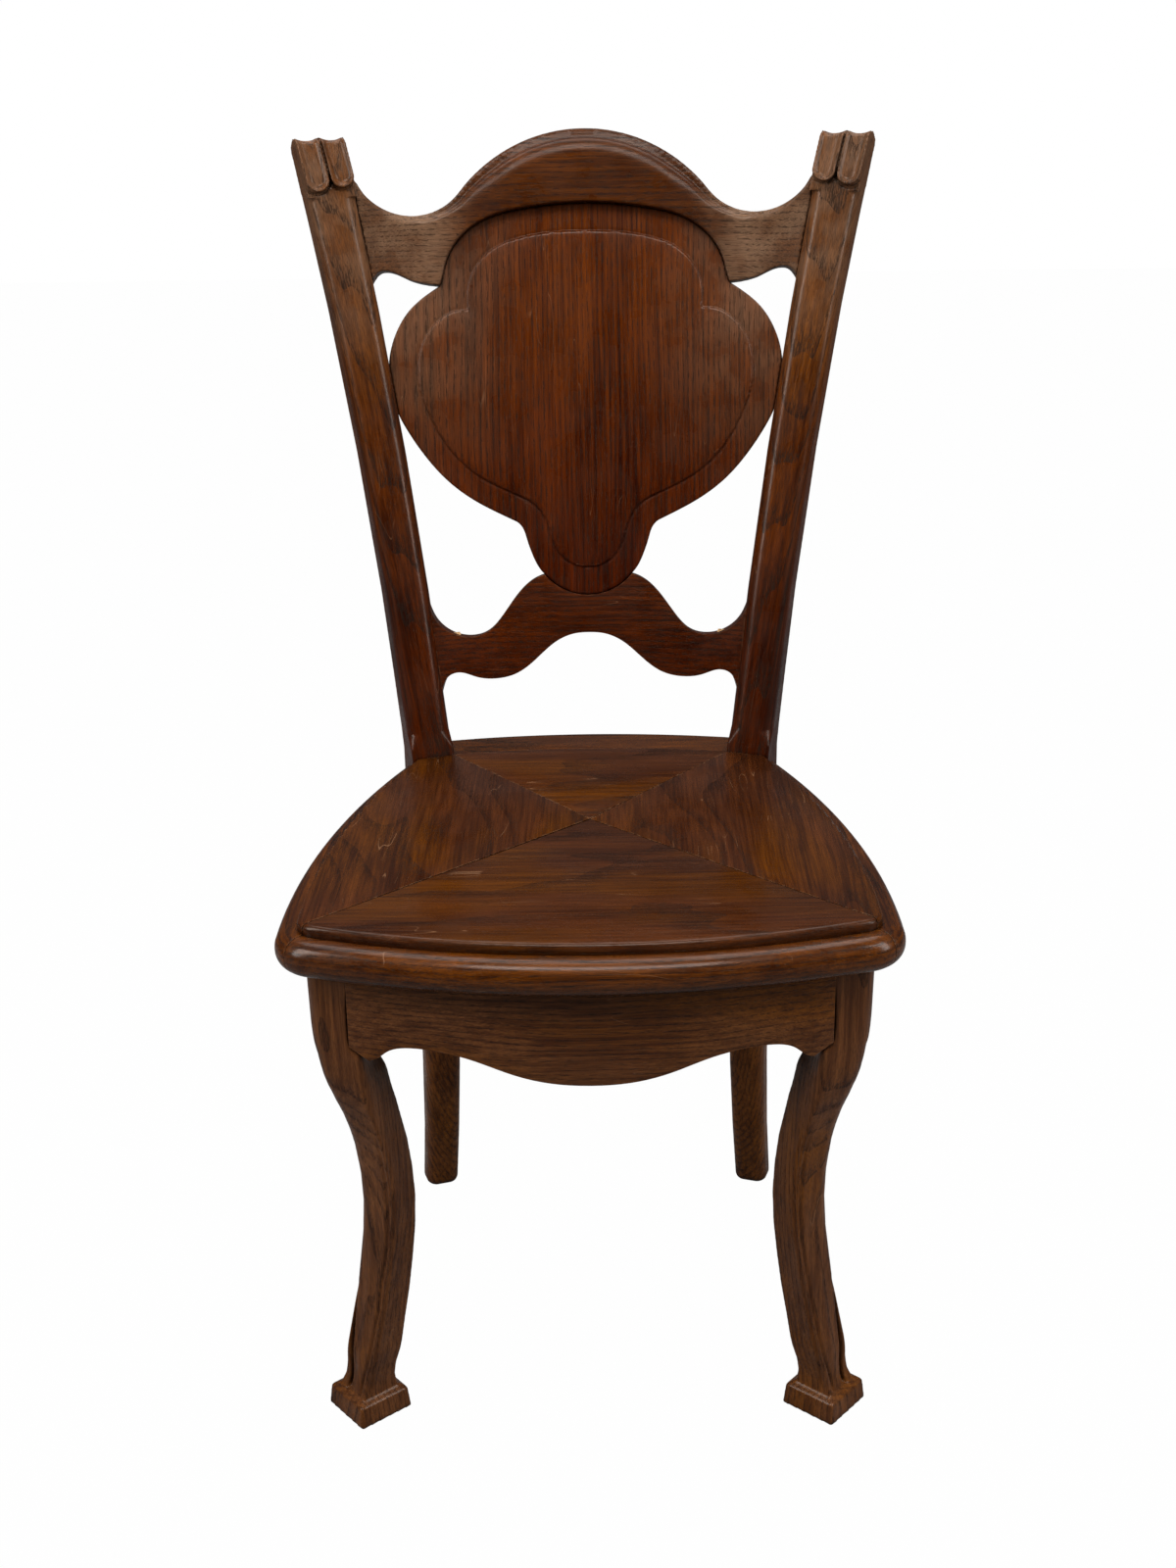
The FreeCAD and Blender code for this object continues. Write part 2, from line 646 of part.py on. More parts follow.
def panel_outline():
    """Outline of the panel: arched top, two lobes and a narrow rounded foot."""
    shoulder = (117.5, up(402))
    upper = drawn([(0, 458.3), (52, 453.6), (80, 446.2), (98, 435.5), (110.5, 421)]) + [shoulder]
    top = upper[:0:-1]
    top = [(-x, v) for x, v in top] + upper
    lobe = [(134, 382.5), (147, 370.5), (157, 354.5), (163, 336.5), (164.5, 316),
            (160.5, 293.5), (150, 271.5), (136, 250.5), (119, 231), (98, 214.5), (77, 202.8),
            (60, 194.5)]
    lobe = [PANEL_NOTCH] + drawn(lobe)
    foot = drawn([(60, 194.5), (54.8, 188), (51.8, 178.5), (48.6, 169), (44, 158.5)]) + [PANEL_NECK]
    edges = [spline(top)] + both(lobe) + both(foot)
    edges += lines([shoulder, PANEL_NOTCH]) + lines([(-shoulder[0], shoulder[1]),
                                                     (-PANEL_NOTCH[0], PANEL_NOTCH[1])])
    edges.append(arc((-PANEL_NECK[0], PANEL_NECK[1]), (0, up(131.8)), PANEL_NECK))
    return edges


def field_outline():
    """Edge of the raised field, which follows the outline of the panel."""
    top = [(0, 435.8), (30, 434.5), (58, 429.3), (82.5, 417), (94.5, 401), (98.3, 384), (96.7, 371)]
    lobe = [(96.7, 371), (110, 370.5), (125, 361), (135, 347), (139.4, 330), (139.2, 311),
            (131, 284.7), (114, 255), (89, 232.5), (60, 218), (44, 208.6), (34.5, 194.5),
            (28.5, 175.5), (18, 161.5), (0, 156)]
    whole_top = [(-x, v) for x, v in top[:0:-1]] + top
    whole_low = [(-x, v) for x, v in lobe[:-1]] + lobe[::-1]
    return [spline(drawn(whole_top)), spline(drawn(whole_low))]


def make_panel():
    border = through(panel_outline())
    board = border.common(back_slab(size("panel_set_back"), size("panel_thickness")))
    rise = size("field_height")
    field = through(field_outline()).common(back_slab(size("panel_set_back") - rise, rise + 4))
    return board.fuse(field)


def make_crest():
    """Crest rail: crown over the panel, a hollow each side and a wing to each post."""
    crown = size("crest_crown_radius")
    hollow_radius = size("crest_hollow_radius")
    crown_v = size("crest_height") - crown
    hollow_x = size("crest_hollow_x")
    rise = math.sqrt((crown + hollow_radius) ** 2 - hollow_x ** 2)
    hollow_v = crown_v + rise
    join = (hollow_x * crown / (crown + hollow_radius), crown_v + rise * crown / (crown + hollow_radius))
    end_x = hollow_x + hollow_radius * 0.9
    end = (end_x, hollow_v - math.sqrt(hollow_radius ** 2 - (end_x - hollow_x) ** 2))
    bottom = (hollow_x, hollow_v - hollow_radius)
    wing = drawn([(182, 386), (176, 394.5), (169.5, 402), (162, 402.6), (154, 400), (146, 396.2),
                  (138, 393.8), (130, 392.4), (112, 391.2)])
    beyond = [(post_x(end[1]), end[1]), (post_x(wing[0][1]), wing[0][1])]
    edges = [arc((-join[0], join[1]), (0, size("crest_height")), join)]
    for side in (-1, 1):
        edges.append(arc((side * join[0], join[1]), (side * bottom[0], bottom[1]),
                         (side * end[0], end[1])))
        edges += lines([(side * end[0], end[1]), (side * beyond[0][0], beyond[0][1]),
                        (side * beyond[1][0], beyond[1][1]), (side * wing[0][0], wing[0][1])])
    edges += both(wing)
    edges += lines([(-wing[-1][0], wing[-1][1]), (wing[-1][0], wing[-1][1])])
    outline = through(edges)
    rail = outline.common(back_slab(0, size("rail_thickness")))
    swelling = outline.common(crest_swelling())
    roll = []
    for edge in swelling.Edges:
        middle = edge.valueAt((edge.FirstParameter + edge.LastParameter) / 2)
        v = (middle.z - SEAT_TOP) * math.cos(RAKE) + (middle.y - size("back_centre_y")) * math.sin(RAKE)
        w = (middle.y - size("back_centre_y")) * math.cos(RAKE) - (middle.z - SEAT_TOP) * math.sin(RAKE)
        if v > size("crest_height") - 4 and w < 0 and abs(middle.x) < 5:
            roll.append(edge)
    if roll:
        swelling = swelling.makeFillet(size("crest_roll_radius"), roll)
    return rail.fuse(swelling).removeSplitter()


def crest_swelling():
    """Curved wedge in front of the rail, deepest on the centre line."""
    reach = size("crest_swell_reach")
    edge = -hollow(reach, size("back_radius"))
    inside = size("rail_thickness") * 0.75
    low = -10
    front = Part.Arc(back_point(-reach, low, edge), back_point(0, low, -size("crest_swell")),
                     back_point(reach, low, edge)).toShape()
    rear = Part.Arc(back_point(reach, low, edge + inside), back_point(0, low, inside),
                    back_point(-reach, low, edge + inside)).toShape()
    right = Part.LineSegment(back_point(reach, low, edge), back_point(reach, low, edge + inside))
    left = Part.LineSegment(back_point(-reach, low, edge + inside), back_point(-reach, low, edge))
    face = Part.Face(Part.Wire([front, right.toShape(), rear, left.toShape()]))
    return face.extrude(back_point(0, size("crest_height") + 30, 0) - back_point(0, low, 0))


def make_lower_rail():
    """Serpentine rail whose middle carries the foot of the panel."""
    top = drawn([(145, 146), (137.5, 128), (131, 113), (121.5, 103.5), (105, 97.7), (88.3, 100.8),
                 (76, 112.5), (63, 130.4), (52, 142)]) + [PANEL_NECK]
    low = drawn([(129, 44), (126, 55), (120.5, 64.5), (112, 67.3), (98, 63.3), (81, 61.2),
                 (63.4, 65), (46.5, 76.7), (29.5, 91.4), (13, 98.7), (0, 99.8)])
    whole_low = [(-x, v) for x, v in low[:-1]] + low[::-1]
    edges = both(top) + lines([(-PANEL_NECK[0], PANEL_NECK[1]), PANEL_NECK]) + [spline(whole_low)]
    for side in (-1, 1):
        edges += lines([(side * top[0][0], top[0][1]), (side * low[0][0], low[0][1])])
    return through(edges).common(back_slab(0, size("rail_thickness")))


# Document objects: pieces with straight faces as bodies, fasteners as primitives

def origin_plane(body, role):
    for item in body.Origin.OriginFeatures:
        if item.Role == role:
            return item
    raise ValueError(role)


def padded_outline(name, corners, bound, height):
    """Body padded from a polygon whose corners hold the cells named in bound.

    corners are plan points in order; bound maps a corner to the expressions of its X and Y.
    """
    body = doc.addObject("PartDesign::Body", name)
    sketch = body.newObject("Sketcher::SketchObject", name + "_outline")
    sketch.AttachmentSupport = [(origin_plane(body, "XY_Plane"), "")]
    sketch.MapMode = "FlatFace"
    count = len(corners)
    for i in range(count):
        start = V(*corners[i], 0)
        end = V(*corners[(i + 1) % count], 0)
        sketch.addGeometry(Part.LineSegment(start, end), False)
    for i in range(count):
        sketch.addConstraint(Sketcher.Constraint("Coincident", i, 2, (i + 1) % count, 1))
    for i in range(count):
        for kind, value, expression in zip(("DistanceX", "DistanceY"), corners[i], bound[i]):
            if expression is None:
                anchor = "PointOnObject"
                axis = -2 if kind == "DistanceX" else -1
                sketch.addConstraint(Sketcher.Constraint(anchor, i, 1, axis))
                continue
            number = sketch.addConstraint(Sketcher.Constraint(kind, -1, 1, i, 1, value))
            sketch.setExpression("Constraints[%d]" % number, expression)
    pad = body.newObject("PartDesign::Pad", name + "_pad")
    pad.Profile = sketch
    pad.setExpression("Length", height)
    doc.recompute()
    return body


def turn_about_z(degrees):
    return FreeCAD.Rotation(V(0, 0, 1), degrees)


def along(direction):
    """Rotation that takes the Z axis to a direction."""
    return FreeCAD.Rotation(V(0, 0, 1), direction)


def both_sides(places):
    """Each start and direction, followed by its mirror image."""
    result = []
    for start, direction in places:
        result.append((start, direction))
        result.append((V(-start.x, start.y, start.z), V(-direction.x, direction.y, direction.z)))
    return result


def dowel_group(name, places):
    """Round dowels centred on each place."""
    links = []
    for i, (middle, direction) in enumerate(places, start=1):
        unit = V(direction).normalize()
        dowel = doc.addObject("Part::Cylinder", "%s_%d" % (name, i))
        dowel.setExpression("Radius", "Sizes.dowel_radius")
        dowel.setExpression("Height", "Sizes.dowel_length")
        dowel.Placement = FreeCAD.Placement(middle - unit * (size("dowel_length") / 2), along(unit))
        links.append(dowel)
    return group(name, links)


def screw_group(name, places):
    """Cheese-head screws, each from the middle of its head along its direction."""
    links = []
    for i, (start, direction) in enumerate(places, start=1):
        unit = V(direction).normalize()
        label = "%s_%d" % (name, i)
        head = doc.addObject("Part::Cylinder", label + "_head")
        head.setExpression("Radius", "Sizes.screw_head_radius")
        head.setExpression("Height", "Sizes.screw_head_radius * 0.8")
        shank = doc.addObject("Part::Cylinder", label + "_shank")
        shank.setExpression("Radius", "Sizes.screw_radius")
        shank.setExpression("Height", "Sizes.screw_length")
        head.Placement = shank.Placement = FreeCAD.Placement(start, along(unit))
        screw = doc.addObject("Part::Fuse", label)
        screw.Base = head
        screw.Tool = shank
        links.append(screw)
    return group(name, links)


def group(name, links):
    whole = doc.addObject("Part::Compound", name)
    whole.Links = links
    return whole


def cut(name, base, tools):
    """Base with the tools taken out of it, one boolean for each tool."""
    for i, tool in enumerate(tools, start=1):
        last = i == len(tools)
        step = doc.addObject("Part::Cut", name if last else "%s_cut_%d" % (name, i))
        step.Base = base
        step.Tool = tool
        base = step
    return base


def common(name, base, tool):
    step = doc.addObject("Part::Common", name)
    step.Base = base
    step.Tool = tool
    return step


def mirror_piece(name, source):
    item = doc.addObject("Part::Mirroring", name)
    item.Source = source
    item.Normal = V(1, 0, 0)
    item.Base = V(0, 0, 0)
    return item


NODES = []


def finish(label, item):
    """Name a finished piece and move it so that the origin is under its middle."""
    item.Label = label
    NODES.append(item)
    return item


# Dowels, placed on the joints that they hold

PANEL_MIDDLE = size("rail_thickness") / 2
IN_POST = size("post_proud") + size("rail_thickness") / 2
LEG_U = V(math.cos(LEG_TURN), math.sin(LEG_TURN), 0)


def post_joint(v):
    """Middle of the joint of a rail and the inner side of a post."""
    wide = size("post_width") + 1
    return stile_point(v) - U_DIR * (wide / 2) + N_DIR * IN_POST


def panel_place(x, v):
    place = back_point(x, v, PANEL_MIDDLE - hollow(x, size("back_radius")))
    return place, back_point(0, 1, 0) - back_point(0, 0, 0)


def apron_face_y(x):
    """Middle of the thickness of the front apron at x."""
    return front_y(x, size("apron_inset") + size("apron_thickness") / 2)


def side_mid_x(y):
    return side_x(y, size("apron_inset") + size("apron_thickness") / 2)


crest_dowels = dowel_group("crest_dowels", both_sides([(post_joint(up(v)), U_DIR) for v in (415, 435)]))
lower_rail_dowels = dowel_group("lower_rail_dowels",
                                both_sides([(post_joint(up(v)), U_DIR) for v in (76, 90)]))
top_dowels = [panel_place(0, up(458))]
top_dowels += both_sides([panel_place(60, up(451))])
panel_dowels = dowel_group("panel_dowels", top_dowels + both_sides([panel_place(14, up(134))]))

joint_x = size("apron_joint_x")
front_places = [(V(joint_x, apron_face_y(joint_x), FRAME_BOTTOM - drop), LEG_U) for drop in (14, 34)]
front_apron_dowels = dowel_group("front_apron_dowels", both_sides(front_places))

leg_back_y = CORNER.y + 22
side_places = []
for drop in (24, 46):
    place = V(side_mid_x(leg_back_y), leg_back_y, FRAME_BOTTOM - drop)
    side_places.append((place, V(side_mid_x(leg_back_y + 5) - side_mid_x(leg_back_y - 5), 10, 0)))
for drop in (14, 46):
    side_places.append((V(side_mid_x(-12), -12, FRAME_BOTTOM - drop), V(0, 1, 0)))
side_apron_dowels = dowel_group("side_apron_dowels", both_sides(side_places))

REAR_APRON_Y = 8
rear_mid_y = REAR_APRON_Y + size("rear_apron_thickness") / 2
rear_joint_x = size("post_half_gap") + rear_mid_y * math.tan(TURN)
rear_places = [(V(rear_joint_x, rear_mid_y, FRAME_BOTTOM - drop), V(1, 0, 0)) for drop in (18, 42)]
rear_apron_dowels = dowel_group("rear_apron_dowels", both_sides(rear_places))

# Rear posts and the back between them

post_stock = add_shape("post_stock", make_post())
rear_post = cut("rear_post_blank", post_stock,
                [crest_dowels, lower_rail_dowels, side_apron_dowels, rear_apron_dowels])
rear_post_right = finish("rear_post_right", rear_post)
rear_post_left = finish("rear_post_left", mirror_piece("rear_post_mirror", rear_post))
posts = group("posts", [post_stock, mirror_piece("post_stock_mirror", post_stock)])

panel_block = add_shape("panel_block", through(panel_outline()))
crest_stock = add_shape("crest_stock", make_crest())
crest_rail = finish("crest_rail", cut("crest_blank", crest_stock,
                                      [posts, panel_block, crest_dowels, panel_dowels]))
lower_stock = add_shape("lower_rail_stock", make_lower_rail())
lower_back_rail = finish("lower_back_rail", cut("lower_rail_blank", lower_stock,
                                                [posts, panel_block, lower_rail_dowels, panel_dowels]))
panel_stock = add_shape("panel_stock", make_panel())
back_panel = finish("back_panel", cut("panel_blank", panel_stock, [posts, panel_dowels]))

# Aprons, front legs and the corner blocks behind them

front_apron_stock = add_shape("front_apron_stock", make_front_apron())
front_apron_blank = cut("front_apron_blank", front_apron_stock, [front_apron_dowels])
leg_stock = add_shape("front_leg_stock", make_front_leg())
side_stock = add_shape("side_apron_stock", make_side_apron())
front_leg_blank = cut("front_leg_blank", leg_stock,
                      [front_apron_stock, front_apron_dowels, side_apron_dowels])
side_apron_blank = cut("side_apron_blank", side_stock, [leg_stock, post_stock, side_apron_dowels])

half_rear = size("post_half_gap") + size("post_width") * 0.35
rear_half = "(Sizes.post_half_gap + Sizes.post_width * 0.35)"
rear_stock = padded_outline(
    "rear_apron_board", [(-half_rear, 0), (half_rear, 0), (half_rear, 22), (-half_rear, 22)],
    [("-" + rear_half, None), (rear_half, None), (rear_half, "Sizes.rear_apron_thickness"),
     ("-" + rear_half, "Sizes.rear_apron_thickness")], "Sizes.rear_apron_depth")
rear_stock.Placement.Base = V(0, REAR_APRON_Y, FRAME_BOTTOM - size("rear_apron_depth"))
rear_apron_blank = cut("rear_apron_blank", rear_stock, [posts, rear_apron_dowels])


def corner_block(name, corner, degrees):
    """Three-sided block with its right angle at a corner, its legs turned by degrees."""
    leg = size("block_leg")
    body = padded_outline(name, [(0, 0), (leg, 0), (0, leg)],
                          [(None, None), ("Sizes.block_leg", None), (None, "Sizes.block_leg")],
                          "Sizes.block_height")
    base = V(corner.x, corner.y, FRAME_BOTTOM - size("block_height"))
    body.Placement = FreeCAD.Placement(base, turn_about_z(degrees))
    return body


inner = size("apron_inset") + size("apron_thickness")
front_corner = inner_corner(inner)
rear_corner = V(side_x(REAR_APRON_Y, inner) + 2, REAR_APRON_Y, 0)
block_front = corner_block("corner_block_front", front_corner + V(3, -1, 0), 97)
block_rear = corner_block("corner_block_rear", rear_corner, 180)
block_z = FRAME_BOTTOM - size("block_height") / 2


screw_x = joint_x - 36
screw_y = 111.6 - size("seat_reach")
rear_screw_x = size("post_half_gap") - 29.5
front_places = [(V(screw_x, front_y(screw_x, inner) + 14, block_z), V(0.26, -1, 0)),
                (V(side_x(screw_y, inner) - 14, screw_y, block_z), V(1, 0.05, 0))]
rear_places = [(V(rear_screw_x, REAR_APRON_Y - 15, block_z), V(0, 1, 0)),
               (V(side_x(-40, inner) - 14, -40, block_z), V(1, -0.1, 0))]
block_screws = screw_group("corner_block_screws", both_sides(front_places + rear_places))
low = FRAME_BOTTOM - size("block_height")
lift = V(0, 0, 1)
frame_places = [(V(joint_x - 24, screw_y - 12, low), lift), (V(rear_screw_x + 13, -12, low), lift)]
frame_screws = screw_group("seat_frame_screws", both_sides(frame_places))

front_apron_blank = cut("front_apron_drilled", front_apron_blank, [block_screws])
side_apron_blank = cut("side_apron_drilled", side_apron_blank, [block_screws])
rear_apron_blank = cut("rear_apron_drilled", rear_apron_blank, [block_screws])
front_block = cut("corner_block_front_blank", block_front,
                  [leg_stock, front_apron_stock, side_stock, block_screws, frame_screws])
rear_block = cut("corner_block_rear_blank", block_rear,
                 [post_stock, side_stock, block_screws, frame_screws])

finish("front_leg_right", front_leg_blank)
finish("front_leg_left", mirror_piece("front_leg_mirror", front_leg_blank))
finish("front_apron", front_apron_blank)
finish("side_apron_right", side_apron_blank)
finish("side_apron_left", mirror_piece("side_apron_mirror", side_apron_blank))
finish("rear_apron", rear_apron_blank)
finish("corner_block_front_right", front_block)
finish("corner_block_front_left", mirror_piece("front_block_mirror", front_block))
finish("corner_block_rear_right", rear_block)
finish("corner_block_rear_left", mirror_piece("rear_block_mirror", rear_block))

# Seat frame: three members of a rounded frame and a rear member between the posts

board_low = SEAT_TOP - size("board_thickness")
board_space = add_shape("board_space", outline_solid(size("board_inset"), 30, board_low, SEAT_TOP + 5))
ring = add_shape("frame_ring", make_frame_ring())
ring_rebated = cut("frame_ring_rebated", ring, [board_space, posts, frame_screws])
front_part = add_shape("front_wedge", front_wedge(FRAME_BOTTOM - 5, SEAT_TOP + 5))
right_part = add_shape("right_half", prism([(0, -600), (400, -600), (400, 200), (0, 200)],
                                           FRAME_BOTTOM - 5, SEAT_TOP + 5))
frame_front = common("seat_frame_front_blank", ring_rebated, front_part)
frame_sides = cut("seat_frame_sides", ring_rebated, [front_part])
frame_right = common("seat_frame_right_blank", frame_sides, right_part)
rear_member = add_shape("rear_member_stock", make_rear_member())
frame_rear = cut("seat_frame_rear_blank", rear_member, [posts, frame_screws])
finish("seat_frame_front", frame_front)
finish("seat_frame_right", frame_right)
finish("seat_frame_left", mirror_piece("seat_frame_mirror", frame_right))
finish("seat_frame_rear", frame_rear)

# Seat board: four quarters that meet in mitres, with a loose tongue in each mitre


def tongue(name, start, end, clear_start, clear_end):
    """Flat tongue that lies along a mitre."""
    run = V(end.x - start.x, end.y - start.y, 0)
    unit = V(run).normalize()
    item = doc.addObject("Part::Box", name)
    item.Length = run.Length - clear_start - clear_end
    item.setExpression("Width", "Sizes.spline_width")
    item.setExpression("Height", "Sizes.spline_thickness")
    side = V(-unit.y, unit.x, 0)
    base = start + unit * clear_start - side * (size("spline_width") / 2)
    base.z = SEAT_TOP - size("board_thickness") / 2 - size("spline_thickness") / 2
    item.Placement = FreeCAD.Placement(base, along_plan(unit))
    return item


def along_plan(direction):
    return turn_about_z(math.degrees(math.atan2(direction.y, direction.x)))


apex = V(0, -size("board_centre_y"), 0)
tongues = []
for side in (1, -1):
    tongues.append(tongue("front_tongue_%d" % (side + 2), apex, V(side * CORNER.x, CORNER.y, 0),
                          30, 20))
    tongues.append(tongue("rear_tongue_%d" % (side + 2), apex,
                          V(side * size("post_half_gap"), 0, 0), 30, 30))
mitre_splines = group("mitre_splines", tongues)
board_blank = add_shape("board_blank", make_board_blank())
rear_part = add_shape("rear_wedge", rear_wedge(FRAME_BOTTOM - 5, SEAT_TOP + 5))
grooved = cut("board_grooved", board_blank, [posts, mitre_splines])
board_front = common("seat_board_front_blank", grooved, front_part)
board_rear = common("seat_board_rear_blank", grooved, rear_part)
board_right = common("seat_board_right_blank", cut("board_sides", grooved, [front_part, rear_part]),
                     right_part)
finish("seat_board_front", board_front)
finish("seat_board_rear", board_rear)
finish("seat_board_right", board_right)
finish("seat_board_left", mirror_piece("seat_board_mirror", board_right))

for label, item in (("crest_dowels", crest_dowels), ("lower_rail_dowels", lower_rail_dowels),
                    ("panel_dowels", panel_dowels), ("front_apron_dowels", front_apron_dowels),
                    ("side_apron_dowels", side_apron_dowels), ("rear_apron_dowels", rear_apron_dowels),
                    ("corner_block_screws", block_screws), ("seat_frame_screws", frame_screws),
                    ("mitre_splines", mitre_splines)):
    finish(label, item)

doc.recompute()

# Every object is sound before anything is written
for item in doc.Objects:
    if "Invalid" in item.State or "Error" in item.State:
        raise RuntimeError("%s failed to build" % item.Label)
for item in NODES:
    if item.Shape.isNull() or not item.Shape.isValid():
        raise RuntimeError("%s has no sound shape" % item.Label)

os.makedirs("parts", exist_ok=True)
for item in NODES:
    placed = item.Shape.copy()
    placed.translate(SHIFT)
    placed.exportStep("parts/%s.step" % item.Label)
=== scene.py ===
"""Looks of a balloon back dining chair in stained oak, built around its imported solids."""

import json
import logging
import math
from dataclasses import dataclass, field
from enum import Enum
from typing import Callable, Sequence

import bpy
import numpy as np
from mathutils import Matrix, Vector

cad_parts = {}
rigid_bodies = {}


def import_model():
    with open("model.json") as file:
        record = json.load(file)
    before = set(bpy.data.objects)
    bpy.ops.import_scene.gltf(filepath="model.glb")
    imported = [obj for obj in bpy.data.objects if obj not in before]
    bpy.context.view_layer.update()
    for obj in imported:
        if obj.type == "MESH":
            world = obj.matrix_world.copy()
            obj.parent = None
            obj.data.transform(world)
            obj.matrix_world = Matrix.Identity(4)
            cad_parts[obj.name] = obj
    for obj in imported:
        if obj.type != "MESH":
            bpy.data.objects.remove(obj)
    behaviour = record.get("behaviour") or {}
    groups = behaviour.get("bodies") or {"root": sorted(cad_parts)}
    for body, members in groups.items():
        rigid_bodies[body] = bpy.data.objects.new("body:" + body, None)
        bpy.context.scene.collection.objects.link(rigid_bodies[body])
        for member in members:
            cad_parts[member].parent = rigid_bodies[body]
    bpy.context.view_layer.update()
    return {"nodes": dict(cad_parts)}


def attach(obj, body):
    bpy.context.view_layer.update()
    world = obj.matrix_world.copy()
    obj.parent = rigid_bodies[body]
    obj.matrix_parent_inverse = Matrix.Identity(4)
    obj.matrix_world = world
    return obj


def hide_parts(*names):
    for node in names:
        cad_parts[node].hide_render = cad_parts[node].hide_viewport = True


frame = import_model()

LOG = logging.getLogger("chair")
MM = 0.001
MIRROR = {"left": -1.0, "right": 1.0}

Array = np.ndarray
Item = bpy.types.Object
Socket = bpy.types.NodeSocket
Span = tuple[float, float]
Triple = tuple[float, float, float]


class Grain(Enum):
    """Direction that the fibres of a piece run in, as the turn that takes it to the Z axis."""

    UPRIGHT = (0.0, 0.0, 0.0)
    ACROSS = (0.0, 90.0, 0.0)
    DEEP = (90.0, 0.0, 0.0)
    RAKED = (12.0, 0.0, 0.0)
    POST_RIGHT = (12.0, -10.0, 0.0)
    POST_LEFT = (12.0, 10.0, 0.0)


class Tree:
    """Short way to lay out the nodes of a material or a world."""

    def __init__(self, owner: bpy.types.ID) -> None:
        """Start without nodes.

        Args:
            owner: The material or the world that gets them.
        """
        self.owner = owner
        owner.use_nodes = True
        self.nodes = owner.node_tree.nodes
        self.links = owner.node_tree.links
        self.nodes.clear()

    def add(self, kind: str, **settings: object) -> bpy.types.Node:
        """Add a node.

        Args:
            kind: Blender's name of the node type, without its prefix.
            **settings: Properties of the node.

        Returns:
            The new node.
        """
        node = self.nodes.new("ShaderNode" + kind)
        for key, value in settings.items():
            setattr(node, key, value)
        return node

    def put(self, node: bpy.types.Node, values: dict[object, object]) -> bpy.types.Node:
        """Fill a node's inputs with values or links.

        Args:
            node: The node.
            values: Input name or number to a value or to an output socket.

        Returns:
            The same node.
        """
        for key, value in values.items():
            socket = node.inputs[key]
            if isinstance(value, Socket):
                self.links.new(value, socket)
            else:
                socket.default_value = value
        return node

    def math(self, operation: str, first: object, second: object = 0.0, third: object = 0.0,
             clamp: bool = False) -> Socket:
        """Add a math node.

        Args:
            operation: Name of the operation.
            first: First value or socket.
            second: Second value or socket.
            third: Third value or socket.
            clamp: Whether the result stays between 0 and 1.

        Returns:
            Its output.
        """
        node = self.add("Math", operation=operation, use_clamp=clamp)
        return self.put(node, {0: first, 1: second, 2: third}).outputs[0]

    def span(self, value: object, low: float, high: float, to_low: float = 0.0,
             to_high: float = 1.0) -> Socket:
        """Map a range smoothly onto another.

        Args:
            value: Value or socket.
            low: Start of the range.
            high: End of the range.
            to_low: Result at the start.
            to_high: Result at the end.

        Returns:
            The mapped value.
        """
        node = self.add("MapRange", interpolation_type="SMOOTHSTEP")
        self.put(node, {"Value": value, "From Min": low, "From Max": high,
                        "To Min": to_low, "To Max": to_high})
        return node.outputs[0]

    def mix(self, share: object, first: object, second: object,
            blend: str = "MIX") -> Socket:
        """Mix two colours.

        Args:
            share: Share of the second colour.
            first: Colour or socket.
            second: Colour or socket.
            blend: Way of mixing.

        Returns:
            The mixed colour.
        """
        node = self.add("Mix", data_type="RGBA", blend_type=blend)
        pick = lambda c: (*c, 1.0) if isinstance(c, tuple) and len(c) == 3 else c
        self.put(node, {0: share, 6: pick(first), 7: pick(second)})
        return node.outputs[2]

    def noise(self, vector: object, scale: float, detail: float = 3.0,
              rough: float = 0.5) -> Socket:
        """Add a noise texture.

        Args:
            vector: Where it is read.
            scale: Its scale.
            detail: Its octaves.
            rough: Weight of the fine octaves.

        Returns:
            Its value.
        """
        node = self.add("TexNoise")
        self.put(node, {"Vector": vector, "Scale": scale, "Detail": detail, "Roughness": rough})
        return node.outputs[0]

    def times(self, colour: object, red: object, green: object, blue: object) -> Socket:
        """Multiply a colour, channel by channel.

        Args:
            colour: The colour.
            red: Factor of its red.
            green: Factor of its green.
            blue: Factor of its blue.

        Returns:
            The product.
        """
        factors = self.put(self.add("CombineColor"), {0: red, 1: green, 2: blue})
        return self.mix(1.0, colour, factors.outputs[0], "MULTIPLY")

    def close(self, shader: bpy.types.Node, kind: str = "OutputMaterial") -> bpy.types.ID:
        """Link the last shader to the output.

        Args:
            shader: The last shader.
            kind: Type of the output node.

        Returns:
            The material or the world.
        """
        self.put(self.add(kind), {0: shader.outputs[0]})
        return self.owner


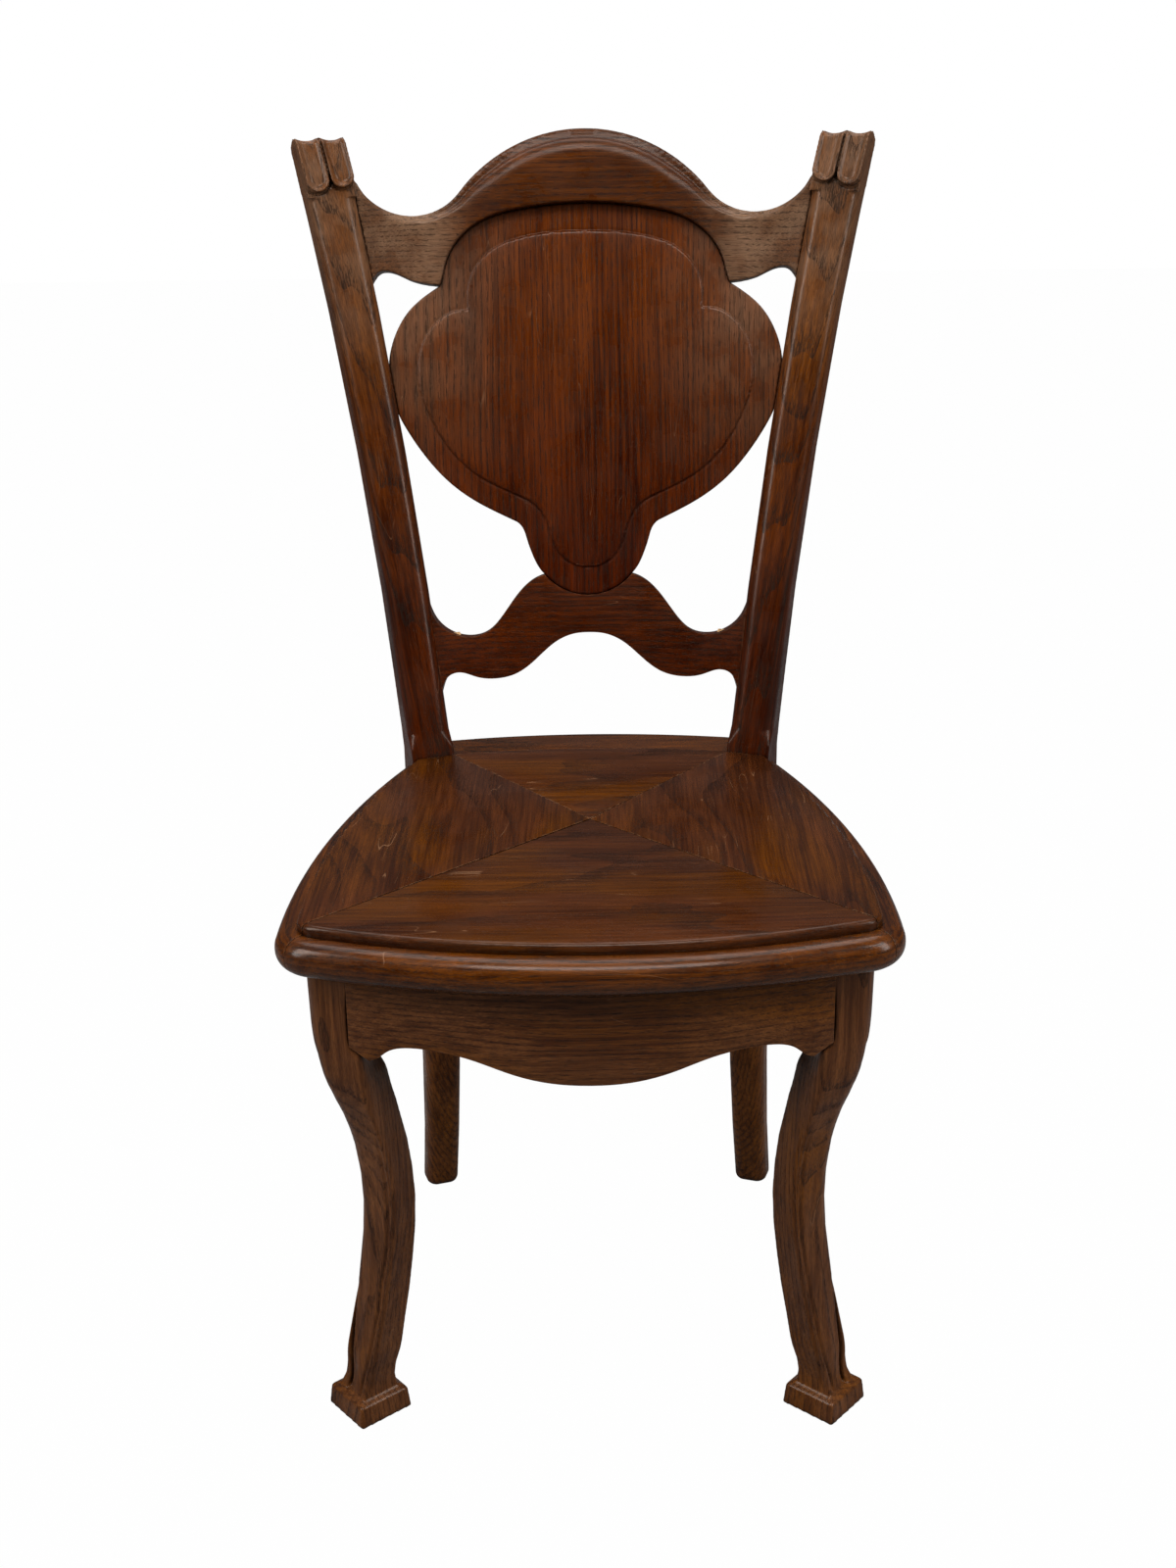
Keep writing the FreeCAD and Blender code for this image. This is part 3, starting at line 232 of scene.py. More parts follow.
@dataclass(frozen=True)
class OakFinish:
    """Stained and varnished oak: growth rings, open pores, worn arrises with painted highlights,
    painted shade in corners.

    Lengths are in millimetres, sizes of marks go across and along the fibres. Only the
    places of the painted sheen and of the tone that changes with height are in metres.
    """

    name: str
    light: Triple = (0.128, 0.040, 0.0085)
    dark: Triple = (0.020, 0.0032, 0.0004)
    amber: Triple = (0.135, 0.036, 0.0012)
    pore: Triple = (0.006, 0.0025, 0.0012)
    # Colour of the rubbed arrises and scratches; on the arrises it also paints their highlights.
    rubbed_and_highlight: Triple = (0.260, 0.130, 0.065)
    # Grey colour of the painted sheen on the outer top.
    sheen_colour: Triple = (0.165, 0.092, 0.052)
    ring_gap: float = 4.2
    sway: float = 14.0
    pore_size: Span = (0.8, 8.0)
    row_size: Span = (5.0, 60.0)
    streak_size: Span = (3.0, 130.0)
    band_size: Span = (26.0, 240.0)
    patch_size: Span = (75.0, 165.0)
    glow_size: Span = (60.0, 150.0)
    thread_size: Span = (0.45, 34.0)
    pore_share: float = 0.75
    streak_share: float = 0.50
    early_share: float = 0.16
    patch_share: float = 0.26
    band_share: float = 0.22
    roughness: float = 0.34
    coat: float = 0.10
    coat_roughness: float = 0.16
    gloss: float = 0.14
    gloss_tint: Triple = (1.0, 0.80, 0.62)
    # Share of the rubbed arrises, which also paint the edge highlights.
    wear_and_highlight: float = 0.55
    arris: float = 1.8
    # Reach of the painted shade in the inner corners.
    corner: float = 10.0
    dents: float = 0.10
    scratches: float = 0.25
    # Painted sheen of reflected light on the outer top: its share, and where it lies across and up.
    painted_sheen: float = 0.0
    painted_sheen_side: Span = (0.08, 0.14)
    painted_sheen_height: Span = (0.74, 0.88)
    deep: float = 1.0
    deep_height: Span = (0.50, 0.82)
    # Painted light: factor that brightens the lowest parts, and the heights where it sets in.
    painted_low_light: float = 1.0
    low_height: Span = (0.45, 0.40)

    def log_space(self, tree: Tree, grain: Grain, pith: Span,
                  seed: float) -> tuple[Socket, Socket]:
        """Lay the log's own space over a piece, its fibres along Z.

        Args:
            tree: The material's nodes.
            grain: Direction of the fibres.
            pith: Middle of the log across the grain.
            seed: Shift along the log.

        Returns:
            The straight space and the one that sways with the growth of the tree.
        """
        place = tree.add("TexCoord").outputs["Object"]
        turned = tree.add("Mapping", vector_type="POINT")
        tree.put(turned, {"Vector": place, "Scale": (1 / MM,) * 3,
                          "Rotation": tuple(math.radians(a) for a in grain.value)})
        shifted = tree.add("VectorMath", operation="ADD")
        tree.put(shifted, {0: turned.outputs[0], 1: (-pith[0], -pith[1], seed * 37.0)})
        log = shifted.outputs[0]
        slow = tree.put(tree.add("Mapping"), {"Vector": log, "Scale": (0.010, 0.010, 0.0028)})
        sway = tree.add("TexNoise")
        tree.put(sway, {"Vector": slow.outputs[0], "Scale": 1.0, "Detail": 2.0})
        centred = tree.put(tree.add("VectorMath", operation="SUBTRACT"),
                           {0: sway.outputs["Color"], 1: (0.5, 0.5, 0.5)})
        pushed = tree.put(tree.add("VectorMath", operation="MULTIPLY_ADD"),
                          {0: centred.outputs[0], 1: (self.sway * 2, self.sway * 2, 0.0), 2: log})
        return log, pushed.outputs[0]

    def stretched(self, tree: Tree, space: Socket, across: float, along: float,
                  detail: float = 2.0) -> Socket:
        """Noise drawn out along the fibres.

        Args:
            tree: The material's nodes.
            space: The log's space.
            across: Size of a mark across the fibres.
            along: Its length.
            detail: Octaves.

        Returns:
            The noise.
        """
        fitted = tree.put(tree.add("Mapping"), {"Vector": space,
                                                "Scale": (1 / across, 1 / across, 1 / along)})
        return tree.noise(fitted.outputs[0], 1.0, detail, 0.6)

    def scratch_lines(self, tree: Tree, log: Socket) -> Socket:
        """Fine pale scratches in crossing directions.

        Args:
            tree: The material's nodes.
            log: The log's space.

        Returns:
            Their strength, 0 to 1.
        """
        found = []
        for turn, size in (((20, 35, 15), 0.05), ((70, -25, 50), 0.037)):
            fitted = tree.put(tree.add("Mapping"), {
                "Vector": log, "Rotation": tuple(math.radians(a) for a in turn),
                "Scale": (size, size, size * 0.09)})
            wave = tree.add("TexNoise")
            tree.put(wave, {"Vector": fitted.outputs[0], "Scale": 1.0, "Detail": 1.0,
                            "Distortion": 0.6})
            line = tree.math("ABSOLUTE", tree.math("SUBTRACT", wave.outputs[0], 0.5))
            found.append(tree.span(line, 0.0022, 0.0004))
        rare = tree.span(tree.noise(log, 0.021, 2.0), 0.54, 0.62)
        return tree.math("MULTIPLY", tree.math("MAXIMUM", found[0], found[1]), rare)

    def figure(self, tree: Tree, log: Socket, pushed: Socket) -> tuple[Socket, ...]:
        """Lay out the grain: rings, streaks, bands, patches and pores.

        Args:
            tree: The material's nodes.
            log: The log's straight space.
            pushed: The log's swaying space.

        Returns:
            The colour, the pores and the fine threads.
        """
        flat = tree.put(tree.add("VectorMath", operation="MULTIPLY"),
                        {0: pushed, 1: (1.0, 1.0, 0.0)})
        radius = tree.put(tree.add("VectorMath", operation="LENGTH"), {0: flat.outputs[0]})
        ring = tree.math("FRACT", tree.math("DIVIDE", radius.outputs["Value"], self.ring_gap))
        early = tree.span(ring, 0.5, 0.0)
        dash = self.stretched(tree, pushed, *self.pore_size)
        row = self.stretched(tree, pushed, *self.row_size)
        pore = tree.math("MULTIPLY_ADD", early, 0.075, tree.math("MULTIPLY_ADD", row, 0.10, dash))
        pore = tree.math("MULTIPLY", tree.span(pore, 0.600, 0.650),
                         tree.math("MULTIPLY_ADD", early, 0.65, 0.35))
        streak = tree.span(self.stretched(tree, pushed, *self.streak_size, 4.0), 0.34, 0.66)
        band = tree.span(self.stretched(tree, log, *self.band_size, 2.0), 0.38, 0.62)
        patch = tree.span(self.stretched(tree, log, *self.patch_size, 3.0), 0.30, 0.70)
        tone = tree.math("MULTIPLY", streak, self.streak_share)
        tone = tree.math("MULTIPLY_ADD", early, self.early_share, tone)
        tone = tree.math("MULTIPLY_ADD", patch, self.patch_share, tone)
        tone = tree.math("MULTIPLY_ADD", band, self.band_share, tone, clamp=True)
        glow = tree.span(self.stretched(tree, log, *self.glow_size, 1.0), 0.42, 0.64)
        colour = tree.mix(tone, tree.mix(glow, self.light, self.amber), self.dark)
        colour = self.paint_sheen_and_height_tone(tree, log, colour)
        thread = self.stretched(tree, log, *self.thread_size)
        fibre = tree.span(thread, 0.30, 0.70, 0.70, 1.26)
        colour = tree.times(colour, fibre, fibre, fibre)
        filled = tree.math("MULTIPLY", pore, self.pore_share, clamp=True)
        return tree.mix(filled, colour, self.pore), pore, thread

    def paint_sheen_and_height_tone(self, tree: Tree, log: Socket, colour: Socket) -> Socket:
        """Paint a grey sheen on the outer top, darken and redden the colour lower down, and paint
        light on the lowest parts where asked.

        Args:
            tree: The material's nodes.
            log: The log's space.
            colour: The colour of the grain.

        Returns:
            The colour with painted sheen and painted light, darker and redder lower down.
        """
        spot = tree.put(tree.add("SeparateXYZ"), {0: tree.add("TexCoord").outputs["Object"]})
        height = spot.outputs[2]
        # Painted sheen: a grey veil on the outer top of the posts and crest, where the varnish
        # reflects the light from above.
        side = tree.span(tree.math("ABSOLUTE", spot.outputs[0]), *self.painted_sheen_side)
        high = tree.span(height, *self.painted_sheen_height)
        uneven = tree.span(tree.noise(log, 0.03, 3.0), 0.36, 0.60, 0.45, 1.0)
        sheen_mask = tree.math("MULTIPLY", tree.math("MULTIPLY", side, high), uneven)
        colour = tree.mix(tree.math("MULTIPLY", sheen_mask, self.painted_sheen), colour, self.sheen_colour)
        # Darker and redder lower down and back to normal lowest down, where a factor above 1 paints
        # extra light on the lower rear legs.
        level = tree.math("MAXIMUM", tree.span(height, *self.deep_height, self.deep, 1.0),
                          tree.span(height, *self.low_height, 0.0, self.painted_low_light))
        return tree.times(colour, level, tree.math("POWER", level, 1.8),
                          tree.math("POWER", level, 3.0))

    def wear_and_painted_light(self, tree: Tree, log: Socket, colour: Socket) -> tuple[Socket, Socket]:
        """Rub the arrises, which also paints their highlights, scratch the faces and paint shade
        into the inner corners.

        Args:
            tree: The material's nodes.
            log: The log's space.
            colour: The colour of the wood.

        Returns:
            The worn colour with its painted highlights and painted shade, and the scratches.
        """
        # Rubbed arrises, lighter where the stain wore off; they also paint the edge highlights.
        rounded = tree.put(tree.add("Bevel", samples=6), {"Radius": self.arris * MM})
        true = tree.add("NewGeometry").outputs["Normal"]
        facing = tree.put(tree.add("VectorMath", operation="DOT_PRODUCT"),
                          {0: rounded.outputs[0], 1: true})
        edge = tree.span(facing.outputs["Value"], 0.985, 0.86)
        breakup = tree.span(tree.noise(log, 0.13, 4.0, 0.75), 0.44, 0.60)
        worn_and_highlit = tree.math("MULTIPLY", tree.math("MULTIPLY", edge, breakup), self.wear_and_highlight, clamp=True)
        colour = tree.mix(worn_and_highlit, colour, self.rubbed_and_highlight)
        scratch = self.scratch_lines(tree, log)
        colour = tree.mix(tree.math("MULTIPLY", scratch, self.scratches), colour, self.rubbed_and_highlight)
        # Painted shade: ambient occlusion darkens the colour in inner corners, recesses and gaps.
        open_sky = tree.put(tree.add("AmbientOcclusion", samples=8, only_local=False),
                            {"Distance": self.corner * MM})
        shade = tree.span(open_sky.outputs["AO"], 0.20, 0.90, 0.25, 1.0)
        return tree.times(colour, shade, shade, shade), scratch

    def material(self, grain: Grain, pith: Span, seed: float) -> bpy.types.Material:
        """Make the material for one piece.

        Args:
            grain: Direction of its fibres.
            pith: Middle of the log across the grain, from the origin, in millimetres.
            seed: Shift along the log, which makes pieces differ.

        Returns:
            The material.
        """
        name = "%s_%s_%d" % (self.name, grain.name.lower(), int(seed))
        tree = Tree(bpy.data.materials.new(name))
        log, pushed = self.log_space(tree, grain, pith, seed)
        colour, pore, thread = self.figure(tree, log, pushed)
        colour, scratch = self.wear_and_painted_light(tree, log, colour)
        dull = tree.span(tree.noise(log, 0.03, 4.0), 0.35, 0.65)
        rough = tree.math("MULTIPLY_ADD", dull, 0.20, self.roughness - 0.10)
        rough = tree.math("MULTIPLY_ADD", pore, 0.25, rough, clamp=True)
        dent = tree.noise(log, 0.09, 2.0)
        height = tree.math("MULTIPLY_ADD", dent, self.dents, tree.math("MULTIPLY", pore, -0.12))
        height = tree.math("MULTIPLY_ADD", thread, 0.05, height)
        height = tree.math("MULTIPLY_ADD", scratch, -0.03, height)
        bump = tree.put(tree.add("Bump"), {"Strength": 0.8, "Distance": MM, "Height": height})
        return tree.close(tree.put(tree.add("BsdfPrincipled"), {
            "Base Color": colour, "Roughness": rough, "Normal": bump.outputs[0],
            "Coat Weight": self.coat, "Coat Roughness": self.coat_roughness,
            "Specular IOR Level": self.gloss, "Specular Tint": (*self.gloss_tint, 1.0)}))


@dataclass(frozen=True)
class SteelFinish:
    """Bright steel of the wood screws."""

    name: str = "screw_steel"
    colour: Triple = (0.42, 0.41, 0.40)

    def material(self) -> bpy.types.Material:
        """Make the steel with fine turning marks.

        Returns:
            The material.
        """
        tree = Tree(bpy.data.materials.new(self.name))
        marks = tree.noise(tree.add("TexCoord").outputs["Object"], 900.0, 4.0, 0.7)
        bump = tree.put(tree.add("Bump"), {"Strength": 0.3, "Distance": 0.1 * MM, "Height": marks})
        return tree.close(tree.put(tree.add("BsdfPrincipled"), {
            "Base Color": (*self.colour, 1.0), "Metallic": 1.0,
            "Roughness": tree.span(marks, 0.3, 0.7, 0.25, 0.5), "Normal": bump.outputs[0]}))


class Bench:
    """Steps that most pieces share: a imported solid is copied, merged and worked."""

    merge_gap = 0.004
    flat_angle = 0.6
    sharp_angle = 32.0
    shade_angle = 28.0

    @staticmethod
    def dress(item: Item, material: bpy.types.Material) -> None:
        """Give an object one material."""
        item.data.materials.clear()
        item.data.materials.append(material)

    @staticmethod
    def deselect() -> None:
        """Leave nothing selected and no mode open."""
        if bpy.context.object and bpy.context.object.mode != "OBJECT":
            bpy.ops.object.mode_set(mode="OBJECT")
        for item in bpy.context.view_layer.objects:
            item.select_set(False)

    @staticmethod
    def take(node: str, name: str) -> Item:
        """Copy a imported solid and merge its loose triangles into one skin.

        Args:
            node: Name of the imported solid.
            name: Name of the new piece.

        Returns:
            The new piece, selected and active.
        """
        Bench.deselect()
        mesh = frame["nodes"][node].data.copy()
        mesh.name = name
        item = bpy.data.objects.new(name, mesh)
        bpy.context.scene.collection.objects.link(item)
        item.select_set(True)
        bpy.context.view_layer.objects.active = item
        bpy.ops.object.mode_set(mode="EDIT")
        bpy.ops.mesh.select_all(action="SELECT")
        bpy.ops.mesh.remove_doubles(threshold=Bench.merge_gap * MM)
        bpy.ops.object.mode_set(mode="OBJECT")
        return item

    @staticmethod
    def finish_with(item: Item, kind: str, **settings: object) -> None:
        """Add a modifier to a piece and apply it.

        Args:
            item: The piece.
            kind: Blender's name of the modifier type.
            **settings: Properties of the modifier.
        """
        Bench.deselect()
        item.select_set(True)
        bpy.context.view_layer.objects.active = item
        bpy.ops.object.modifier_add(type=kind)
        modifier = item.modifiers[-1]
        for key, value in settings.items():
            setattr(modifier, key, value)
        bpy.ops.object.modifier_apply(modifier=modifier.name)

    @staticmethod
    def ease(item: Item, width: float, steps: int) -> None:
        """Ease the sharp arrises of a sawn piece.

        Args:
            item: The piece.
            width: Width of the eased arris in millimetres.
            steps: Facets across it.
        """
        bpy.ops.object.mode_set(mode="EDIT")
        bpy.ops.mesh.select_all(action="SELECT")
        bpy.ops.mesh.dissolve_limited(angle_limit=math.radians(Bench.flat_angle))
        bpy.ops.object.mode_set(mode="OBJECT")
        Bench.finish_with(item, "BEVEL", width=width * MM, segments=steps, limit_method="ANGLE",
                          angle_limit=math.radians(Bench.sharp_angle), use_clamp_overlap=True)
        bpy.ops.object.shade_smooth_by_angle(angle=math.radians(Bench.shade_angle))

    @staticmethod
    def clay(item: Item, voxel: float) -> None:
        """Turn a piece into one even skin that can be carved.

        Args:
            item: The piece.
            voxel: Size of its facets in millimetres.
        """
        coarse = 1.0
        Bench.finish_with(item, "REMESH", mode="VOXEL", voxel_size=voxel * coarse * MM,
                          use_smooth_shade=True)

    @staticmethod
    def read(item: Item) -> Array:
        """Read a piece's points in millimetres."""
        flat = np.empty(len(item.data.vertices) * 3)
        item.data.vertices.foreach_get("co", flat)
        return flat.reshape(-1, 3) / MM

    @staticmethod
    def write(item: Item, points: Array) -> None:
        """Put a piece's points, in millimetres, back."""
        item.data.vertices.foreach_set("co", (points * MM).ravel())
        item.data.update()

    @staticmethod
    def soften(item: Item, rounds: int) -> None:
        """Smooth a carved skin.

        Args:
            item: The piece.
            rounds: Number of passes.
        """
        Bench.finish_with(item, "SMOOTH", iterations=rounds, factor=0.5)

    @staticmethod
    def soften_where(item: Item, share: Array, rounds: int) -> None:
        """Smooth part of a carved skin.

        Args:
            item: The piece.
            share: How much each point moves, 0 to 1.
            rounds: Number of passes.
        """
        group = item.vertex_groups.new(name="soft")
        steps = 8
        for level in range(1, steps + 1):
            near = (share * steps > level - 0.5) & (share * steps <= level + 0.5)
            group.add(np.nonzero(near)[0].tolist(), level / steps, "REPLACE")
        Bench.finish_with(item, "SMOOTH", iterations=rounds, factor=0.5, vertex_group="soft")
        item.vertex_groups.clear()

    @staticmethod
    def thin(item: Item, most: int) -> None:
        """Collapse flat facets until a piece has no more triangles than asked.

        Args:
            item: The piece.
            most: Most triangles.
        """
        count = sum(len(face.vertices) - 2 for face in item.data.polygons)
        if count > most:
            Bench.finish_with(item, "DECIMATE", ratio=most / count)
        bpy.ops.object.shade_smooth()

    @staticmethod
    def hand_over(item: Item, node: str, slot: str,
                  material: bpy.types.Material) -> None:
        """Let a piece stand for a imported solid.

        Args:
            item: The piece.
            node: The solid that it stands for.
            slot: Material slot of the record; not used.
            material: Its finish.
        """
        Bench.dress(item, material)
        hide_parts(node)
        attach(item, "root")
        LOG.info("%s: %d faces", item.name, len(item.data.polygons))


def smooth_line(points: Sequence[Span], steps: int = 10) -> Array:
    """Draw a smooth line through points.

    Args:
        points: Points in millimetres.
        steps: New points from one to the next.

    Returns:
        The points of the line.
    """
    given = np.array(points, float)
    ends = np.vstack([2 * given[0] - given[1], given, 2 * given[-1] - given[-2]])
    share = np.linspace(0, 1, steps, endpoint=False)[:, None]
    runs = []
    for a, b, c, d in zip(ends[:-3], ends[1:-2], ends[2:-1], ends[3:]):
        runs.append(0.5 * (2 * b + (c - a) * share + (2 * a - 5 * b + 4 * c - d) * share ** 2
                           + (3 * b - a - 3 * c + d) * share ** 3))
    return np.vstack(runs + [given[-1:]])


def nearest(points: Array, line: Array) -> tuple[Array, Array]:
    """Find the nearest place of a line to each point.

    Args:
        points: Flat points.
        line: Points of the line.

    Returns:
        Distance of each point, and the way from it to the line.
    """
    best = np.full(len(points), np.inf)
    way = np.zeros_like(points)
    for start, end in zip(line[:-1], line[1:]):
        run = end - start
        share = np.clip(((points - start) @ run) / max(run @ run, 1e-9), 0, 1)
        gap = start + share[:, None] * run - points
        far = np.hypot(gap[:, 0], gap[:, 1])
        closer = far < best
        best[closer] = far[closer]
        way[closer] = gap[closer]
    return best, way


def reach_by_height(value: Array, z: Array, low: float, high: float,
                    smooth: float = 0.0) -> Callable[[Array], Array]:
    """Find how far a piece reaches at each height.

    Args:
        value: The measure of each point.
        z: Height of each point.
        low: Lowest height that is looked at.
        high: Highest height.
        smooth: Width of the smoothing along the height in millimetres.

    Returns:
        A function from heights to the greatest value there.
    """
    step = 3.0
    levels = np.arange(low, high + 1, step)
    found = np.array([value[np.abs(z - level) < 2.5].max() for level in levels])
    if smooth > 0:
        count = int(3 * smooth / step)
        kernel = np.exp(-0.5 * (np.arange(-count, count + 1) * step / smooth) ** 2)
        first = found[0] + (found[0] - found[1]) * np.arange(count, 0, -1)
        last = found[-1] + (found[-1] - found[-2]) * np.arange(1, count + 1)
        found = np.convolve(np.concatenate([first, found, last]), kernel / kernel.sum(), "valid")
    return lambda heights: np.interp(heights, levels, found)


def ramp(value: Array, low: float, high: float) -> Array:
    """Rise smoothly from 0 at low to 1 at high."""
    share = np.clip((value - low) / (high - low), 0, 1)
    return share * share * (3 - 2 * share)


def bell(value: Array, middle: float, width: float) -> Array:
    """Rise to 1 at the middle and fall off over the width."""
    return np.exp(-((value - middle) / width) ** 2)


@dataclass(frozen=True)
class Lean:
    """The hollow, leaning back: its own across, up and depth axes, in millimetres."""

    degrees: float = 12.0
    seat_top: float = 448.0
    centre_y: float = 140.2
    radius: float = 600.0
    crest: float = 518.0

    def tilt(self) -> tuple[float, float]:
        """Cosine and sine of the lean."""
        return math.cos(math.radians(self.degrees)), math.sin(math.radians(self.degrees))

    def bow(self, across: Array) -> Array:
        """How far the hollow back stands forward at each place across."""
        return self.radius - np.sqrt(self.radius ** 2 - across ** 2)

    def flat(self, points: Array) -> Array:
        """Turn points into across, up and depth behind the face of the rails."""
        cosine, sine = self.tilt()
        y, z = points[:, 1] - self.centre_y, points[:, 2] - self.seat_top
        up, deep = y * sine + z * cosine, y * cosine - z * sine
        return np.stack([points[:, 0], up, deep + self.bow(points[:, 0])], axis=1)

    def round(self, flat: Array) -> Array:
        """Turn across, up and depth back into points."""
        cosine, sine = self.tilt()
        deep = flat[:, 2] - self.bow(flat[:, 0])
        y = self.centre_y + flat[:, 1] * sine + deep * cosine
        z = self.seat_top + flat[:, 1] * cosine - deep * sine
        return np.stack([flat[:, 0], y, z], axis=1)


@dataclass
class Back:
    """Crest rail, panel and lower rail between the posts. Lengths in millimetres."""

    lean: Lean = field(default_factory=Lean)
    voxel: float = 1.2
    crown_radius: float = 130.0
    hollow_radius: float = 50.0
    hollow_x: float = 143.0
    hollow_end: float = 0.9
    post_side: Span = (14.0, 26.0)
    roll_crown: float = 21.0
    roll_hollow: float = 7.0
    swell: float = 8.0
    swell_reach: float = 140.0
    roll_change: Span = (70.0, 125.0)
    roll_end: Span = (150.0, 186.0)
    dish: float = 2.2
    dish_margin: Span = (4.0, 24.0)
    dish_start: Span = (105.0, 135.0)
    dish_end: Span = (168.0, 190.0)
    rail_front: Span = (12.0, 4.0)
    most: int = 70000
    panel_voxel: float = 1.0
    panel_most: int = 90000
    pillow: float = 1.3
    pillow_reach: float = 7.0
    moat: float = 1.3
    moat_width: float = 1.3
    moat_bank: float = 0.3
    bank_reach: float = 9.0
    panel_front: Span = (9.0, 5.0)
    rail_ease: float = 2.4
    field_top: Sequence[Span] = (
        (0, 435.8), (30, 434.5), (58, 429.3), (82.5, 417), (94.5, 401), (98.3, 384), (96.7, 371))
    field_low: Sequence[Span] = (
        (96.7, 371), (110, 370.5), (125, 361), (135, 347), (139.4, 330), (139.2, 311), (131, 284.7),
        (114, 255), (89, 232.5), (60, 218), (44, 208.6), (34.5, 194.5), (28.5, 175.5), (18, 161.5),
        (0, 156))

    def crest_top(self) -> Array:
        """Top outline of the crest rail's right half, from the centre line to the post.

        Returns:
            Points across and up.
        """
        centre_v = self.lean.crest - self.crown_radius
        both = self.crown_radius + self.hollow_radius
        rise = math.sqrt(both ** 2 - self.hollow_x ** 2)
        join = math.asin(self.hollow_x / both)
        crown = [(self.crown_radius * math.sin(a), centre_v + self.crown_radius * math.cos(a))
                 for a in np.linspace(0, join, 30)]
        hollow = [(self.hollow_x - self.hollow_radius * math.sin(a),
                   centre_v + rise - self.hollow_radius * math.cos(a))
                  for a in np.linspace(join, -math.asin(self.hollow_end), 30)]
        last = (hollow[-1][0] + self.post_side[0], hollow[-1][1] + self.post_side[1])
        return np.array(crown + hollow[1:] + [last])

    @staticmethod
    def roll(flat: Array, line: Array, radius: Array, face: Array) -> None:
        """Round the arris between a sawn edge and the front face.

        Args:
            flat: Points across, up and deep, changed in place.
            line: Outline of the sawn edge.
            radius: Radius of the rounding at each point.
            face: Depth of the front face at each point.
        """
        mirrored = np.stack([np.abs(flat[:, 0]), flat[:, 1]], axis=1)
        far, way = nearest(mirrored, line)
        deep = flat[:, 2] - face
        across, inward = radius - far, radius - deep
        near = (across > 0) & (inward > 0) & (radius > 0.5)
        most = np.maximum(across, inward)
        share = np.where(near, most / np.maximum(np.hypot(across, inward), 1e-6), 1.0)
        shift = across * (1 - share)
        unit = way / np.maximum(far, 1e-6)[:, None]
        unit[far < 0.3] = 0
        side = np.where(flat[:, 0] < 0, -1.0, 1.0)
        flat[:, 0] -= unit[:, 0] * side * shift * near
        flat[:, 1] -= unit[:, 1] * shift * near
        flat[:, 2] += np.where(near, inward * (1 - share), 0)

    def crest_rail(self) -> None:
        """Carve the crest rail: a rolled top that fades out along the hollows."""
        item = Bench.take("crest_rail", "crest_rail_carved")
        Bench.clay(item, self.voxel)
        flat = self.lean.flat(Bench.read(item))
        x = np.abs(flat[:, 0])
        swell = self.swell * np.clip(1 - (x / self.swell_reach) ** 2, 0, 1)
        radius = self.roll_crown + (self.roll_hollow - self.roll_crown) * ramp(x, *self.roll_change)
        radius = radius * (1 - ramp(x, *self.roll_end))
        top = self.crest_top()
        self.roll(flat, top, radius, -swell)
        far, _ = nearest(np.stack([x, flat[:, 1]], axis=1), top)
        wing = ramp(far, *self.dish_margin) * ramp(x, *self.dish_start)
        wing = wing * (1 - ramp(x, *self.dish_end))
        flat[:, 2] += self.dish * wing * ramp(flat[:, 2], *self.rail_front)
        Bench.write(item, self.lean.round(flat))
        Bench.soften(item, 4)
        Bench.thin(item, self.most)
        Bench.hand_over(item, "crest_rail", "rail_oak",
                        CREST_OAK.material(Grain.ACROSS, (-760, 260), 2))

    def panel(self) -> None:
        """Carve the panel: a pillowed field inside a fine groove."""
        item = Bench.take("back_panel", "back_panel_carved")
        Bench.clay(item, self.panel_voxel)
        flat = self.lean.flat(Bench.read(item))
        line = np.vstack([smooth_line(self.field_top), smooth_line(self.field_low)])
        mirrored = np.stack([np.abs(flat[:, 0]), flat[:, 1]], axis=1)
        far, _ = nearest(mirrored, line)
        groove = self.moat * bell(far, 0, self.moat_width)
        groove = groove - self.moat_bank * np.exp(-far / self.bank_reach)
        pillow = self.pillow * np.exp(-far / self.pillow_reach)
        deep = np.where(self.within(mirrored, line), pillow, groove)
        flat[:, 2] += deep * ramp(flat[:, 2], *self.panel_front)
        Bench.write(item, self.lean.round(flat))
        Bench.soften(item, 3)
        Bench.thin(item, self.panel_most)
        Bench.hand_over(item, "back_panel", "panel_oak",
                        PANEL_OAK.material(Grain.RAKED, (-190, 90), 12))

    @staticmethod
    def within(points: Array, line: Array) -> Array:
        """Tell which points lie inside the right half of a closed outline.

        Args:
            points: Points across and up.
            line: The outline from its top to its foot.

        Returns:
            True for each point that lies inside.
        """
        inside = np.zeros(len(points), bool)
        for start, end in zip(line[:-1], line[1:]):
            if start[1] == end[1]:
                continue
            crosses = (start[1] > points[:, 1]) != (end[1] > points[:, 1])
            at = start[0] + (points[:, 1] - start[1]) / (end[1] - start[1]) * (end[0] - start[0])
            inside ^= crosses & (points[:, 0] < at)
        return inside

    def lower_rail(self) -> None:
        """Ease the serpentine rail under the panel."""
        item = Bench.take("lower_back_rail", "lower_back_rail_eased")
        Bench.ease(item, self.rail_ease, 4)
        Bench.hand_over(item, "lower_back_rail", "rail_oak",
                        BACK_OAK.material(Grain.ACROSS, (-450, 120), 11))

    def build(self) -> None:
        """Make the back."""
        self.crest_rail()
        self.panel()
        self.lower_rail()


